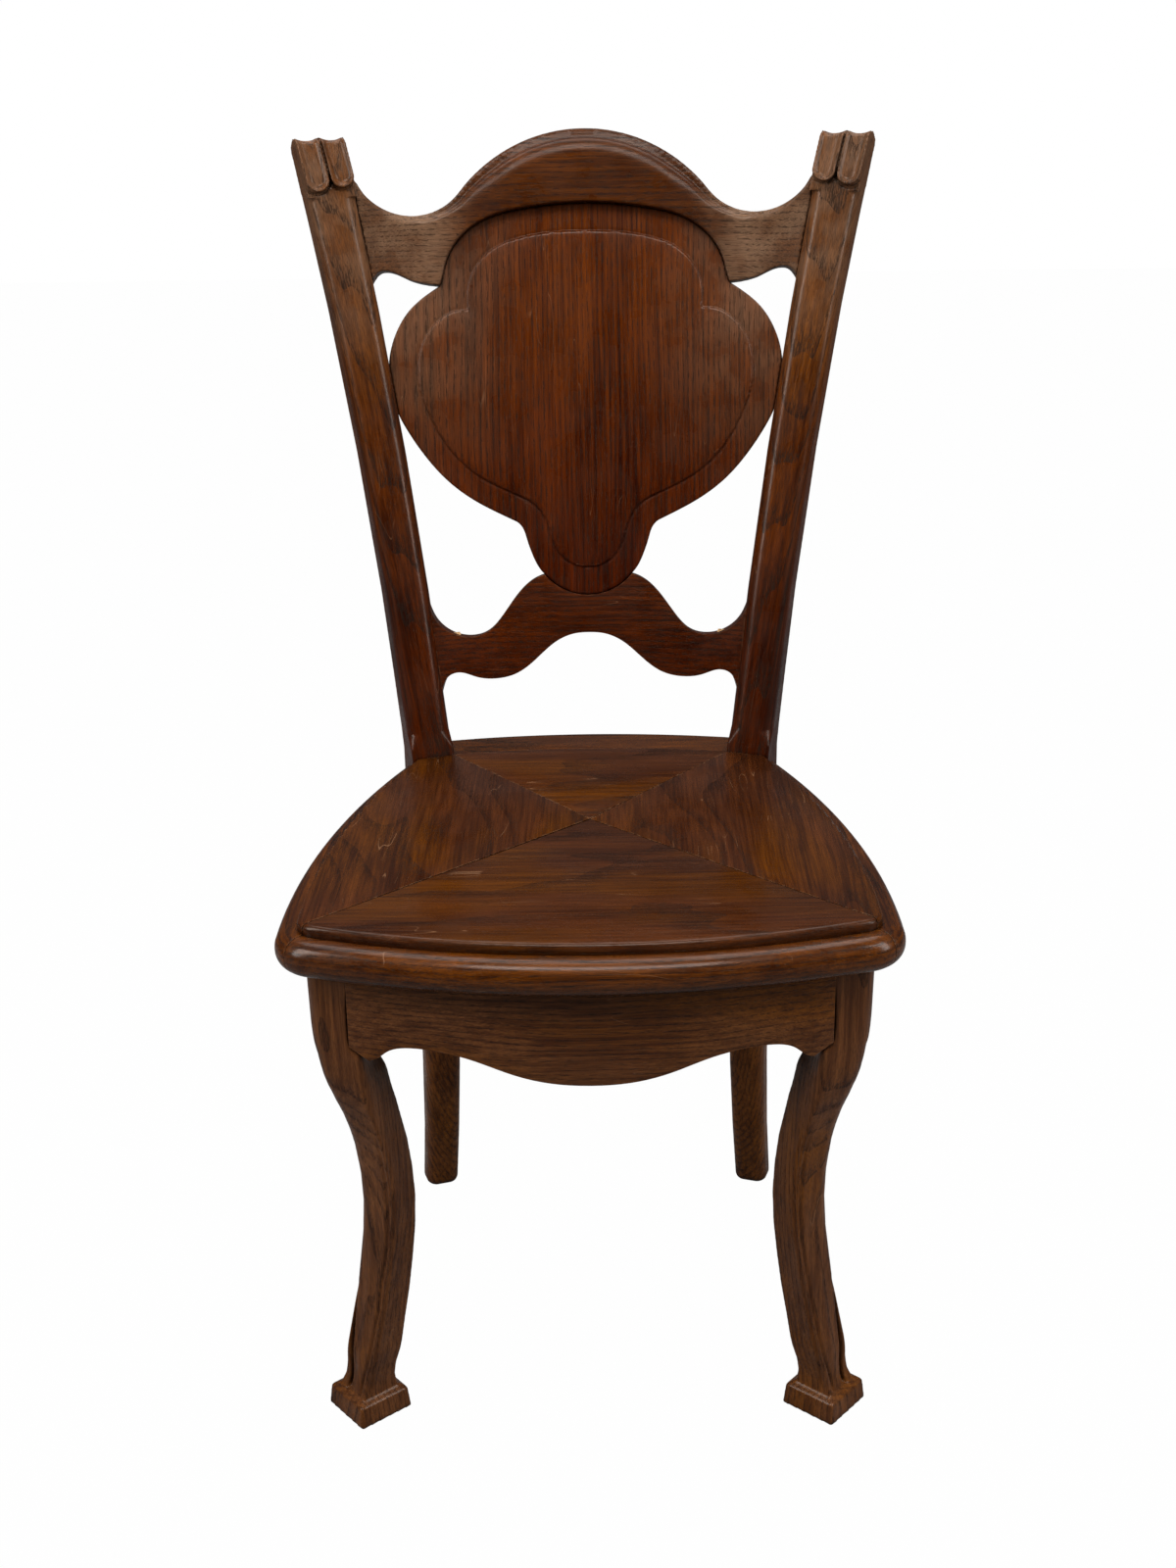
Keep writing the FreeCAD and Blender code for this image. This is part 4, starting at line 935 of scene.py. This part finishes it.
@dataclass
class Posts:
    """The two rear posts with their scrolled heads. Lengths in millimetres."""

    voxel: float = 0.95
    most: int = 110000
    turn: float = 18.0
    head_low: Triple = (203.90, 195.82, 910.26)
    head_high: Triple = (212.31, 201.57, 952.26)
    head_width: float = 41.0
    rim: float = 1.3
    scoop: float = 2.0
    lip: float = 0.54
    cleft: float = 5.0
    foot_round: float = 6.0
    foot_shrink: float = 0.16
    corner: float = 9.5
    shaft: Span = (470.0, 906.0)
    corner_foot: Span = (468.0, 486.0)
    corner_head: Span = (908.0, 896.0)
    soft_foot: Span = (470.0, 520.0)
    soft_head: Span = (905.0, 880.0)
    soft_leg: Span = (400.0, 340.0)
    soft_rounds: int = 34
    leg: Span = (0.0, 420.0)
    leg_top: Span = (395.0, 345.0)
    roundness: float = 0.93
    squareness: float = 0.30

    def axes(self, mirror: float) -> tuple[Array, Array]:
        """Find a post's directions in plan.

        Args:
            mirror: 1 for the right post, -1 for the left one.

        Returns:
            The directions across the post and into it.
        """
        angle = math.radians(self.turn)
        return (np.array([math.cos(angle) * mirror, -math.sin(angle), 0]),
                np.array([math.sin(angle) * mirror, math.cos(angle), 0]))

    def carve_head(self, points: Array, mirror: float) -> None:
        """Scoop the two tongues of the head inside their rims and deepen the cleft.

        Args:
            points: The post's points, changed in place.
            mirror: 1 for the right post, -1 for the left one.
        """
        across, inward = self.axes(mirror)
        low, high = np.array(self.head_low), np.array(self.head_high)
        low[0], high[0] = low[0] * mirror, high[0] * mirror
        run = high - low
        length = np.linalg.norm(run)
        rise = run / length
        place = points - low
        height = place @ rise
        level = place - height[:, None] * rise
        side, deep = level @ across, level @ inward
        half = self.head_width / 4
        bend = np.minimum(height - half - 1.0, 0)
        front = ramp(deep, 6, 1) * ramp(height, 0, 2)
        outside = np.full(len(points), np.inf)
        for middle in (-half, half):
            out = np.hypot(side - middle, bend)
            inside = (half - 0.9) - out
            outside = np.minimum(outside, out - (half - 0.6))
            amount = self.scoop * ramp(inside, self.rim * 0.5, self.rim + 3.2) * front
            points += amount[:, None] * inward
            lip = bell(inside, self.rim * 0.4, 0.9) * front * (height < length * 0.9)
            points -= (lip * self.lip)[:, None] * inward
        gap = self.cleft * bell(side, 0, 0.9) * front * ramp(height, 3, 8)
        points += gap[:, None] * inward
        below = ramp(height, -9, -6) * (height < 12) * (deep < 6) * (np.abs(side) < 20.5)
        sink = np.maximum(-deep, 0) * ramp(outside, 0.0, 1.0) + 1.1 * bell(outside, 1.3, 1.0)
        points += (sink * below)[:, None] * inward

    def round_corners(self, points: Array, mirror: float) -> None:
        """Round the two front corners of the shaft between the seat and the head.

        Args:
            points: The post's points, changed in place.
            mirror: 1 for the right post, -1 for the left one.
        """
        across, inward = self.axes(mirror)
        side, deep, z = points @ across, points @ inward, points[:, 2]
        outer = reach_by_height(side, z, *self.shaft)(z)
        inner = -reach_by_height(-side, z, *self.shaft)(z)
        face = -reach_by_height(-deep, z, *self.shaft)(z)
        radius = self.corner * ramp(z, *self.corner_foot) * ramp(z, *self.corner_head)
        for edge, sign in ((outer, 1.0), (inner, -1.0)):
            aside = radius - (edge - side) * sign
            behind = radius - (deep - face)
            far = np.hypot(aside, behind)
            near = (aside > 0) & (behind > 0) & (far > radius) & (radius > 0.5)
            share = np.where(near, 1 - radius / np.maximum(far, 1e-6), 0)
            points -= (aside * share * sign)[:, None] * across - (behind * share)[:, None] * inward
            side, deep = points @ across, points @ inward

    def turn_leg(self, points: Array) -> None:
        """Bring the leg under the seat close to a round section.

        Args:
            points: The post's points, changed in place.
        """
        z = points[:, 2]
        top = [reach_by_height(points[:, axis], z, *self.leg)(z) for axis in (0, 1)]
        low = [-reach_by_height(-points[:, axis], z, *self.leg)(z) for axis in (0, 1)]
        middle = np.stack([(top[axis] + low[axis]) / 2 for axis in (0, 1)], axis=1)
        radius = np.minimum(top[0] - low[0], top[1] - low[1]) / 2 * self.roundness
        flat = points[:, :2] - middle
        far = np.hypot(flat[:, 0], flat[:, 1])
        wanted = np.where(far > radius, radius + (far - radius) * self.squareness, far)
        share = (wanted / np.maximum(far, 1e-6) - 1) * ramp(z, *self.leg_top)
        points[:, :2] += flat * share[:, None]

    def ease_foot(self, points: Array) -> None:
        """Round the lower edge of the foot.

        Args:
            points: The post's points, changed in place.
        """
        foot = points[:, 2] < self.foot_round
        middle = points[points[:, 2] < 2 * self.foot_round][:, :2].mean(axis=0)
        drop = (self.foot_round - points[foot, 2]) / self.foot_round
        shrink = 1 - self.foot_shrink * (1 - np.sqrt(np.clip(1 - drop ** 2, 0, 1)))
        points[foot, :2] = middle + (points[foot, :2] - middle) * shrink[:, None]

    def post(self, side: str, grain: Grain, pith: Span, seed: int) -> None:
        """Carve one post: leg and shaft rounded, square at the seat, scrolled at its head.

        Args:
            side: left or right.
            grain: Direction of its fibres.
            pith: Middle of its log.
            seed: Shift along the log.
        """
        node = "rear_post_" + side
        item = Bench.take(node, node + "_carved")
        Bench.clay(item, self.voxel)
        z = Bench.read(item)[:, 2]
        shaft = ramp(z, *self.soft_foot) * ramp(z, *self.soft_head)
        soft = np.maximum(shaft, ramp(z, *self.soft_leg))
        Bench.soften_where(item, soft, self.soft_rounds)
        points = Bench.read(item)
        self.turn_leg(points)
        self.round_corners(points, MIRROR[side])
        self.carve_head(points, MIRROR[side])
        self.ease_foot(points)
        Bench.write(item, points)
        Bench.soften(item, 2)
        Bench.thin(item, self.most)
        Bench.hand_over(item, node, "post_oak", BACK_OAK.material(grain, pith, seed))

    def build(self) -> None:
        """Make both posts."""
        self.post("left", Grain.POST_LEFT, (-60, 80), 5)
        self.post("right", Grain.POST_RIGHT, (70, 90), 14)


@dataclass
class FrontLegs:
    """The two turned-out front legs with their carved feet. Lengths in millimetres."""

    voxel: float = 1.0
    most: int = 110000
    height: float = 412.0
    top: Span = (181.61, -199.10)
    slim: float = 32.0
    stations: Sequence[tuple[float, ...]] = (
        (1.0, 0, 0, 1.31, 18), (0.785, -8, -1.5, 1.14, 25), (0.74, -12, 0, 1.06, 27),
        (0.68, -17, 4, 1.01, 28), (0.62, -21, 9, 1, 28.5), (0.555, -23.3, 13, 1, 30.5),
        (0.49, -24, 16, 1, 33), (0.42, -22.4, 18.6, 1, 35), (0.35, -19, 21, 1, 37.5),
        (0.28, -15, 22.6, 1, 39.7), (0.21, -10, 24, 1, 42), (0.15, -5.8, 24.6, 1.01, 45),
        (0.11, -3, 25.4, 1.05, 47.5), (0.078, -1, 27, 1.15, 49), (0.045, 1, 29.5, 1.34, 50),
        (0.0, 1, 29.5, 1.5, 50))
    waist: float = 4.2
    waist_low: Span = (16.5, 21.5)
    waist_high: Span = (26.0, 66.0)
    groove: float = 6.0
    groove_low: Span = (18.5, 25.0)
    groove_high: Span = (70.0, 165.0)
    groove_place: float = 6.5
    groove_drift: float = 0.075
    groove_width: Span = (3.0, 2.0)
    quirk: float = 2.2
    quirk_place: float = 3.4
    quirk_low: Span = (19.0, 30.0)
    quirk_high: Span = (190.0, 300.0)
    swell: float = 0.9
    knee: Span = (220.0, 408.0)
    knee_smooth: float = 17.0
    knee_foot: Span = (222.0, 250.0)
    bulge: float = 3.6
    bulge_height: float = 316.0
    bulge_reach: float = 30.0
    twist_foot: Span = (290.0, 325.0)
    twist_head: Span = (404.0, 372.0)
    twist_rounds: int = 160

    def carve(self, points: Array, mirror: float) -> None:
        """Cut the waist over the pad, the quirk beside the arris and the deep groove.

        Args:
            points: The leg's points, changed in place.
            mirror: 1 for the right leg, -1 for the left one.
        """
        table = np.array(self.stations[::-1])
        z = points[:, 2]
        share = z / self.height
        column = lambda k: np.interp(share, table[:, 0], table[:, k])
        angle = np.radians(column(4))
        along = np.stack([np.cos(angle) * mirror, np.sin(angle)], axis=1)
        inward = np.stack([-np.sin(angle) * mirror, np.cos(angle)], axis=1)
        middle = np.stack([(self.top[0] + column(1)) * mirror, self.top[1] + column(2)], axis=1)
        half = column(3) * self.slim / 2
        flat = points[:, :2] - middle
        s = np.sum(flat * along, axis=1)
        d = np.sum(flat * inward, axis=1)
        waist = self.waist * ramp(z, *self.waist_low) * (1 - ramp(z, *self.waist_high))
        face = ramp(-d, half - 8, half - 3)
        centre = self.groove_place + np.clip(z - 20, 0, None) * self.groove_drift
        wide, narrow = self.groove_width
        width = wide - (wide - narrow) * ramp(z, 30, 130)
        deep = self.groove * ramp(z, *self.groove_low) * (1 - ramp(z, *self.groove_high))
        cut = deep * np.clip(1 - np.abs(s - centre) / width, 0, 1)
        place = -half + self.quirk_place + waist
        fading = ramp(z, *self.quirk_low) * (1 - ramp(z, *self.quirk_high))
        cut += self.quirk * bell(s, place, 1.4) * fading
        other = (self.quirk * 0.8 * bell(d, place, 1.5) * fading
                 * ramp(-s, half - 8, half - 3))
        swell = self.swell * bell(s, (place + centre - width) / 2, 4.5) * (1 - ramp(z, 90, 260))
        cut -= swell * ramp(z, 20, 32)
        pull = flat * (waist / np.maximum(half, 1))[:, None]
        points[:, :2] += inward * (cut * face)[:, None] + along * other[:, None] - pull

    def swell_knee(self, points: Array, mirror: float) -> None:
        """Draw the outer side of the knee into one long curve.

        Args:
            points: The leg's points, changed in place.
            mirror: 1 for the right leg, -1 for the left one.
        """
        x, z = points[:, 0] * mirror, points[:, 2]
        now = reach_by_height(x, z, *self.knee)(z)
        wanted = reach_by_height(x, z, *self.knee, self.knee_smooth)(z)
        wanted = wanted + self.bulge * bell(z, self.bulge_height, self.bulge_reach)
        outer = ramp(x, now - 34, now - 4) * ramp(z, *self.knee_foot)
        points[:, 0] += (wanted - now) * outer * mirror

    def leg(self, side: str, pith: Span, seed: int) -> None:
        """Carve one leg.

        Args:
            side: left or right.
            pith: Middle of its log.
            seed: Shift along the log.
        """
        node = "front_leg_" + side
        item = Bench.take(node, node + "_carved")
        Bench.clay(item, self.voxel)
        z = Bench.read(item)[:, 2]
        twist = ramp(z, *self.twist_foot) * ramp(z, *self.twist_head)
        Bench.soften_where(item, twist, self.twist_rounds)
        Bench.soften(item, 4)
        points = Bench.read(item)
        self.swell_knee(points, MIRROR[side])
        self.carve(points, MIRROR[side])
        Bench.write(item, points)
        Bench.soften(item, 2)
        Bench.thin(item, self.most)
        Bench.hand_over(item, node, "leg_oak", LEG_OAK.material(Grain.UPRIGHT, pith, seed))

    def build(self) -> None:
        """Make both legs."""
        self.leg("left", (-120, -60), 3)
        self.leg("right", (110, -40), 9)


@dataclass
class Seat:
    """Seat frame, seat boards and aprons, each sawn, eased and varnished."""

    board_ease: float = 0.9
    frame_ease: float = 0.8
    apron_ease: float = 0.7
    apex: Span = (0.0, -24.8)
    front_end: Span = (189.12, -202.93)
    rear_end: Span = (117.5, 125.2)
    joint: float = 0.12
    crack: float = 0.42
    joint_reach: float = 0.4

    def open_mitres(self, item: Item) -> None:
        """Draw the ends of a seat board back from its mitres, most at the cracked one.

        Args:
            item: The board, still with sharp mitres.
        """
        points = Bench.read(item)
        centre = points[:, :2].mean(axis=0)
        apex = np.array(self.apex)
        for end in (self.front_end, self.rear_end):
            for side in (-1, 1):
                run = np.array([end[0] * side, end[1]]) - apex
                unit = run / np.linalg.norm(run)
                normal = np.array([-unit[1], unit[0]])
                if normal @ (centre - apex) < 0:
                    normal = -normal
                place = points[:, :2] - apex
                on = (np.abs(place @ normal) < self.joint_reach) & (place @ unit > -0.3)
                cracked = end is self.front_end and side == -1
                far = np.clip(place @ unit / np.linalg.norm(run), 0, 1)
                width = self.joint + (self.crack * (1 - far) if cracked else 0.0)
                points[:, :2] += np.where(on, width, 0)[:, None] * normal
        Bench.write(item, points)
        LOG.info("%s: mitres opened", item.name)

    def build(self) -> None:
        """Ease and dress every member under and in the seat."""
        widths = {"seat_oak": self.board_ease, "frame_oak": self.frame_ease,
                  "apron_oak": self.apron_ease}
        for node, (slot, finish, grain, pith, seed) in SEAT_PIECES.items():
            item = Bench.take(node, node + "_eased")
            if slot == "seat_oak":
                self.open_mitres(item)
            Bench.ease(item, widths[slot], 3)
            Bench.hand_over(item, node, slot, finish.material(grain, pith, seed))


@dataclass
class Studio:
    """Camera at the photograph's place, soft lights and a white room. Lengths in metres."""

    eye: Triple = (0.01147, -1.4995, 1.05123)
    yaw: float = -0.008583
    pitch: float = 0.371019
    roll: float = 0.014626
    focal_pixels: float = 2050.0
    frame_height: float = 1600.0
    sensor: float = 36.0
    near_clip: float = 0.05
    sky_height: Span = (-0.1, 0.9)
    sky_glow: Span = (0.04, 0.24)
    floor_size: float = 14.0
    floor_grey: float = 0.22
    floor_white: float = 0.99

    def camera(self) -> None:
        """Set up the camera."""
        cy, sy = math.cos(self.yaw), math.sin(self.yaw)
        cp, sp = math.cos(self.pitch), math.sin(self.pitch)
        cr, sr = math.cos(self.roll), math.sin(self.roll)
        ahead = Vector((sy * cp, cy * cp, -sp))
        level = Vector((cy, -sy, 0.0))
        down = ahead.cross(level)
        right = level * cr + down * sr
        low = down * cr - level * sr
        data = bpy.data.cameras.new("view")
        data.sensor_width = self.sensor
        data.sensor_fit = "AUTO"
        data.lens = self.focal_pixels * data.sensor_width / self.frame_height
        data.clip_start = self.near_clip
        item = bpy.data.objects.new("view", data)
        turn = Matrix((right, -low, -ahead)).transposed().to_4x4()
        item.matrix_world = Matrix.Translation(self.eye) @ turn
        bpy.context.scene.collection.objects.link(item)
        bpy.context.scene.camera = item

    @staticmethod
    def lamp(name: str, place: Triple, target: Triple, size: Span, power: float) -> None:
        """Add a soft box.

        Args:
            name: Name of the lamp.
            place: Where it stands.
            target: Where it points.
            size: Its width and height.
            power: Its power in watts.
        """
        data = bpy.data.lights.new(name, "AREA")
        data.shape = "RECTANGLE"
        data.size, data.size_y = size
        data.energy = power
        item = bpy.data.objects.new(name, data)
        aim = (Vector(target) - Vector(place)).to_track_quat("-Z", "Y")
        item.matrix_world = Matrix.Translation(place) @ aim.to_matrix().to_4x4()
        bpy.context.scene.collection.objects.link(item)

    def lights(self) -> None:
        """Tall soft boxes at both sides, one over the chair and one over the camera."""
        for name, (place, aim_height, size, power) in SOFT_BOXES.items():
            self.lamp(name, place, (0, 0, aim_height), size, power)

    def surroundings(self) -> None:
        """White surroundings for the camera, dim ones for the varnish, brighter overhead."""
        world = bpy.data.worlds.new("room")
        bpy.context.scene.world = world
        tree = Tree(world)
        place = tree.add("TexCoord").outputs["Generated"]
        height = tree.put(tree.add("SeparateXYZ"), {0: place}).outputs["Z"]
        low, high = self.sky_height
        dark, bright = self.sky_glow
        sky = tree.put(tree.add("MapRange"), {"Value": height, "From Min": low, "From Max": high,
                                              "To Min": dark, "To Max": bright})
        camera = tree.add("LightPath").outputs["Is Camera Ray"]
        strength = tree.put(tree.add("MapRange"), {"Value": camera, "To Min": sky.outputs[0],
                                                   "To Max": 1.0})
        glow = tree.put(tree.add("Background"), {"Color": (1, 1, 1, 1),
                                                 "Strength": strength.outputs[0]})
        tree.close(glow, "OutputWorld")

    def floor(self) -> None:
        """White floor for the camera, a grey one for the light."""
        bpy.ops.mesh.primitive_plane_add(size=self.floor_size, location=(0, 0, 0))
        floor = bpy.context.object
        floor.name = "floor"
        tree = Tree(bpy.data.materials.new("pale_floor"))
        camera = tree.add("LightPath").outputs["Is Camera Ray"]
        glow = tree.put(tree.add("Emission"), {"Color": (1, 1, 1, 1), "Strength": 1.0})
        paint = tree.put(tree.add("BsdfDiffuse"), {"Color": (*[self.floor_grey] * 3, 1)})
        share = tree.math("MULTIPLY", camera, self.floor_white)
        both = tree.put(tree.add("MixShader"), {0: share, 1: paint.outputs[0], 2: glow.outputs[0]})
        Bench.dress(floor, tree.close(both))

    def build(self) -> None:
        """Set up the whole studio."""
        scene = bpy.context.scene
        scene.view_settings.view_transform = "Standard"
        self.camera()
        self.lights()
        self.surroundings()
        self.floor()


# Where each soft box stands, the height it points at, its size and its power.
SOFT_BOXES = {
    "box_left": ((-1.7, -0.9, 1.5), 0.55, (0.6, 1.5), 34.0),
    "box_right": ((1.8, -0.8, 1.4), 0.55, (0.6, 1.5), 30.0),
    "box_top": ((0.0, 0.5, 2.5), 0.4, (2.2, 1.2), 34.0),
    "box_front": ((0.0, -1.5, 2.9), 0.5, (1.6, 0.9), 52.0),
}

# The back's finishes paint a grey sheen on the outer tops; the first also paints light on the lower
# rear legs.
BACK_OAK = OakFinish("back_oak", wear_and_highlight=0.22, painted_sheen=0.46, deep=0.50, painted_low_light=1.25,
                     light=(0.118, 0.031, 0.004))
CREST_OAK = OakFinish("crest_oak", wear_and_highlight=0.22, painted_sheen=0.78, painted_sheen_side=(0.085, 0.135),
                      light=(0.064, 0.0150, 0.0007), dark=(0.017, 0.0026, 0.0002),
                      amber=(0.094, 0.0215, 0.0004))
FRAME_OAK = OakFinish("frame_oak", light=(0.098, 0.026, 0.0032), dark=(0.016, 0.0025, 0.0003),
                      amber=(0.112, 0.028, 0.0008), roughness=0.27, coat=0.22, wear_and_highlight=0.30,
                      scratches=0.4)
SEAT_OAK = OakFinish("seat_oak", light=(0.068, 0.018, 0.0040), dark=(0.015, 0.0026, 0.0003),
                     amber=(0.086, 0.023, 0.0008), pore_share=0.45, roughness=0.27,
                     streak_share=0.42, scratches=0.4, dents=0.16)
PANEL_OAK = OakFinish("panel_oak", light=(0.107, 0.0225, 0.0022), dark=(0.020, 0.0023, 0.0001),
                      amber=(0.107, 0.0195, 0.0002), roughness=0.32, sway=8.0, wear_and_highlight=0.25,
                      painted_sheen=0.45, painted_sheen_side=(0.04, 0.15), painted_sheen_height=(0.62, 0.84),
                      deep=0.62, deep_height=(0.56, 0.84))
# Lighter than the other oak: painted light that stands in for the light the floor bounces onto the
# legs and aprons.
LEG_OAK = OakFinish("leg_oak", light=(0.138, 0.049, 0.015), dark=(0.034, 0.0082, 0.0018),
                    amber=(0.135, 0.041, 0.004), roughness=0.38, coat=0.10, wear_and_highlight=0.35,
                    pore_share=0.6)
BEECH = OakFinish("beech", light=(0.42, 0.27, 0.14), dark=(0.30, 0.17, 0.08),
                  amber=(0.40, 0.24, 0.11), pore=(0.2, 0.1, 0.05), rubbed_and_highlight=(0.5, 0.34, 0.2),
                  pore_share=0.2, roughness=0.6, coat=0.0, scratches=0.0)

# Material slot, finish, direction of the fibres, middle of the log and shift along it.
SEAT_PIECES = {
    "front_apron": ("apron_oak", LEG_OAK, Grain.ACROSS, (-320, -150), 4),
    "side_apron_left": ("apron_oak", LEG_OAK, Grain.DEEP, (-150, 300), 6),
    "side_apron_right": ("apron_oak", LEG_OAK, Grain.DEEP, (150, 320), 7),
    "rear_apron": ("apron_oak", LEG_OAK, Grain.ACROSS, (-350, 100), 8),
    "seat_frame_front": ("frame_oak", FRAME_OAK, Grain.ACROSS, (-380, -300), 13),
    "seat_frame_left": ("frame_oak", FRAME_OAK, Grain.DEEP, (-300, 400), 15),
    "seat_frame_right": ("frame_oak", FRAME_OAK, Grain.DEEP, (300, 390), 16),
    "seat_frame_rear": ("frame_oak", FRAME_OAK, Grain.ACROSS, (-400, 150), 17),
    "seat_board_front": ("seat_oak", SEAT_OAK, Grain.ACROSS, (-405, -120), 18),
    "seat_board_rear": ("seat_oak", SEAT_OAK, Grain.ACROSS, (-412, 60), 19),
    "seat_board_left": ("seat_oak", SEAT_OAK, Grain.DEEP, (-80, 410), 20),
    "seat_board_right": ("seat_oak", SEAT_OAK, Grain.DEEP, (90, 405), 21),
}

# Direction of the fibres, middle of the log and shift along it.
HIDDEN_PIECES = {
    "corner_block_front_left": (Grain.ACROSS, (-380, -100), 22),
    "corner_block_front_right": (Grain.ACROSS, (-385, -100), 23),
    "corner_block_rear_left": (Grain.ACROSS, (-382, 100), 24),
    "corner_block_rear_right": (Grain.ACROSS, (-384, 100), 25),
    "mitre_splines": (Grain.ACROSS, (-430, 0), 26),
    "crest_dowels": (Grain.ACROSS, (-800, 200), 27),
    "lower_rail_dowels": (Grain.ACROSS, (-500, 150), 28),
    "panel_dowels": (Grain.RAKED, (30, 150), 29),
    "front_apron_dowels": (Grain.ACROSS, (-350, -150), 30),
    "side_apron_dowels": (Grain.DEEP, (150, 350), 31),
    "rear_apron_dowels": (Grain.ACROSS, (-350, 120), 32),
}


def main() -> None:
    """Build the looks of the chair in order."""
    logging.basicConfig(level=logging.INFO)
    Studio().build()
    Back().build()
    Posts().build()
    FrontLegs().build()
    Seat().build()
    for name, (grain, pith, seed) in HIDDEN_PIECES.items():
        Bench.dress(frame["nodes"][name], BEECH.material(grain, pith, seed))
        LOG.info("%s dressed", name)
    steel = SteelFinish().material()
    for name in ("corner_block_screws", "seat_frame_screws"):
        Bench.dress(frame["nodes"][name], steel)
        LOG.info("%s dressed", name)


if __name__ == "__main__":
    main()
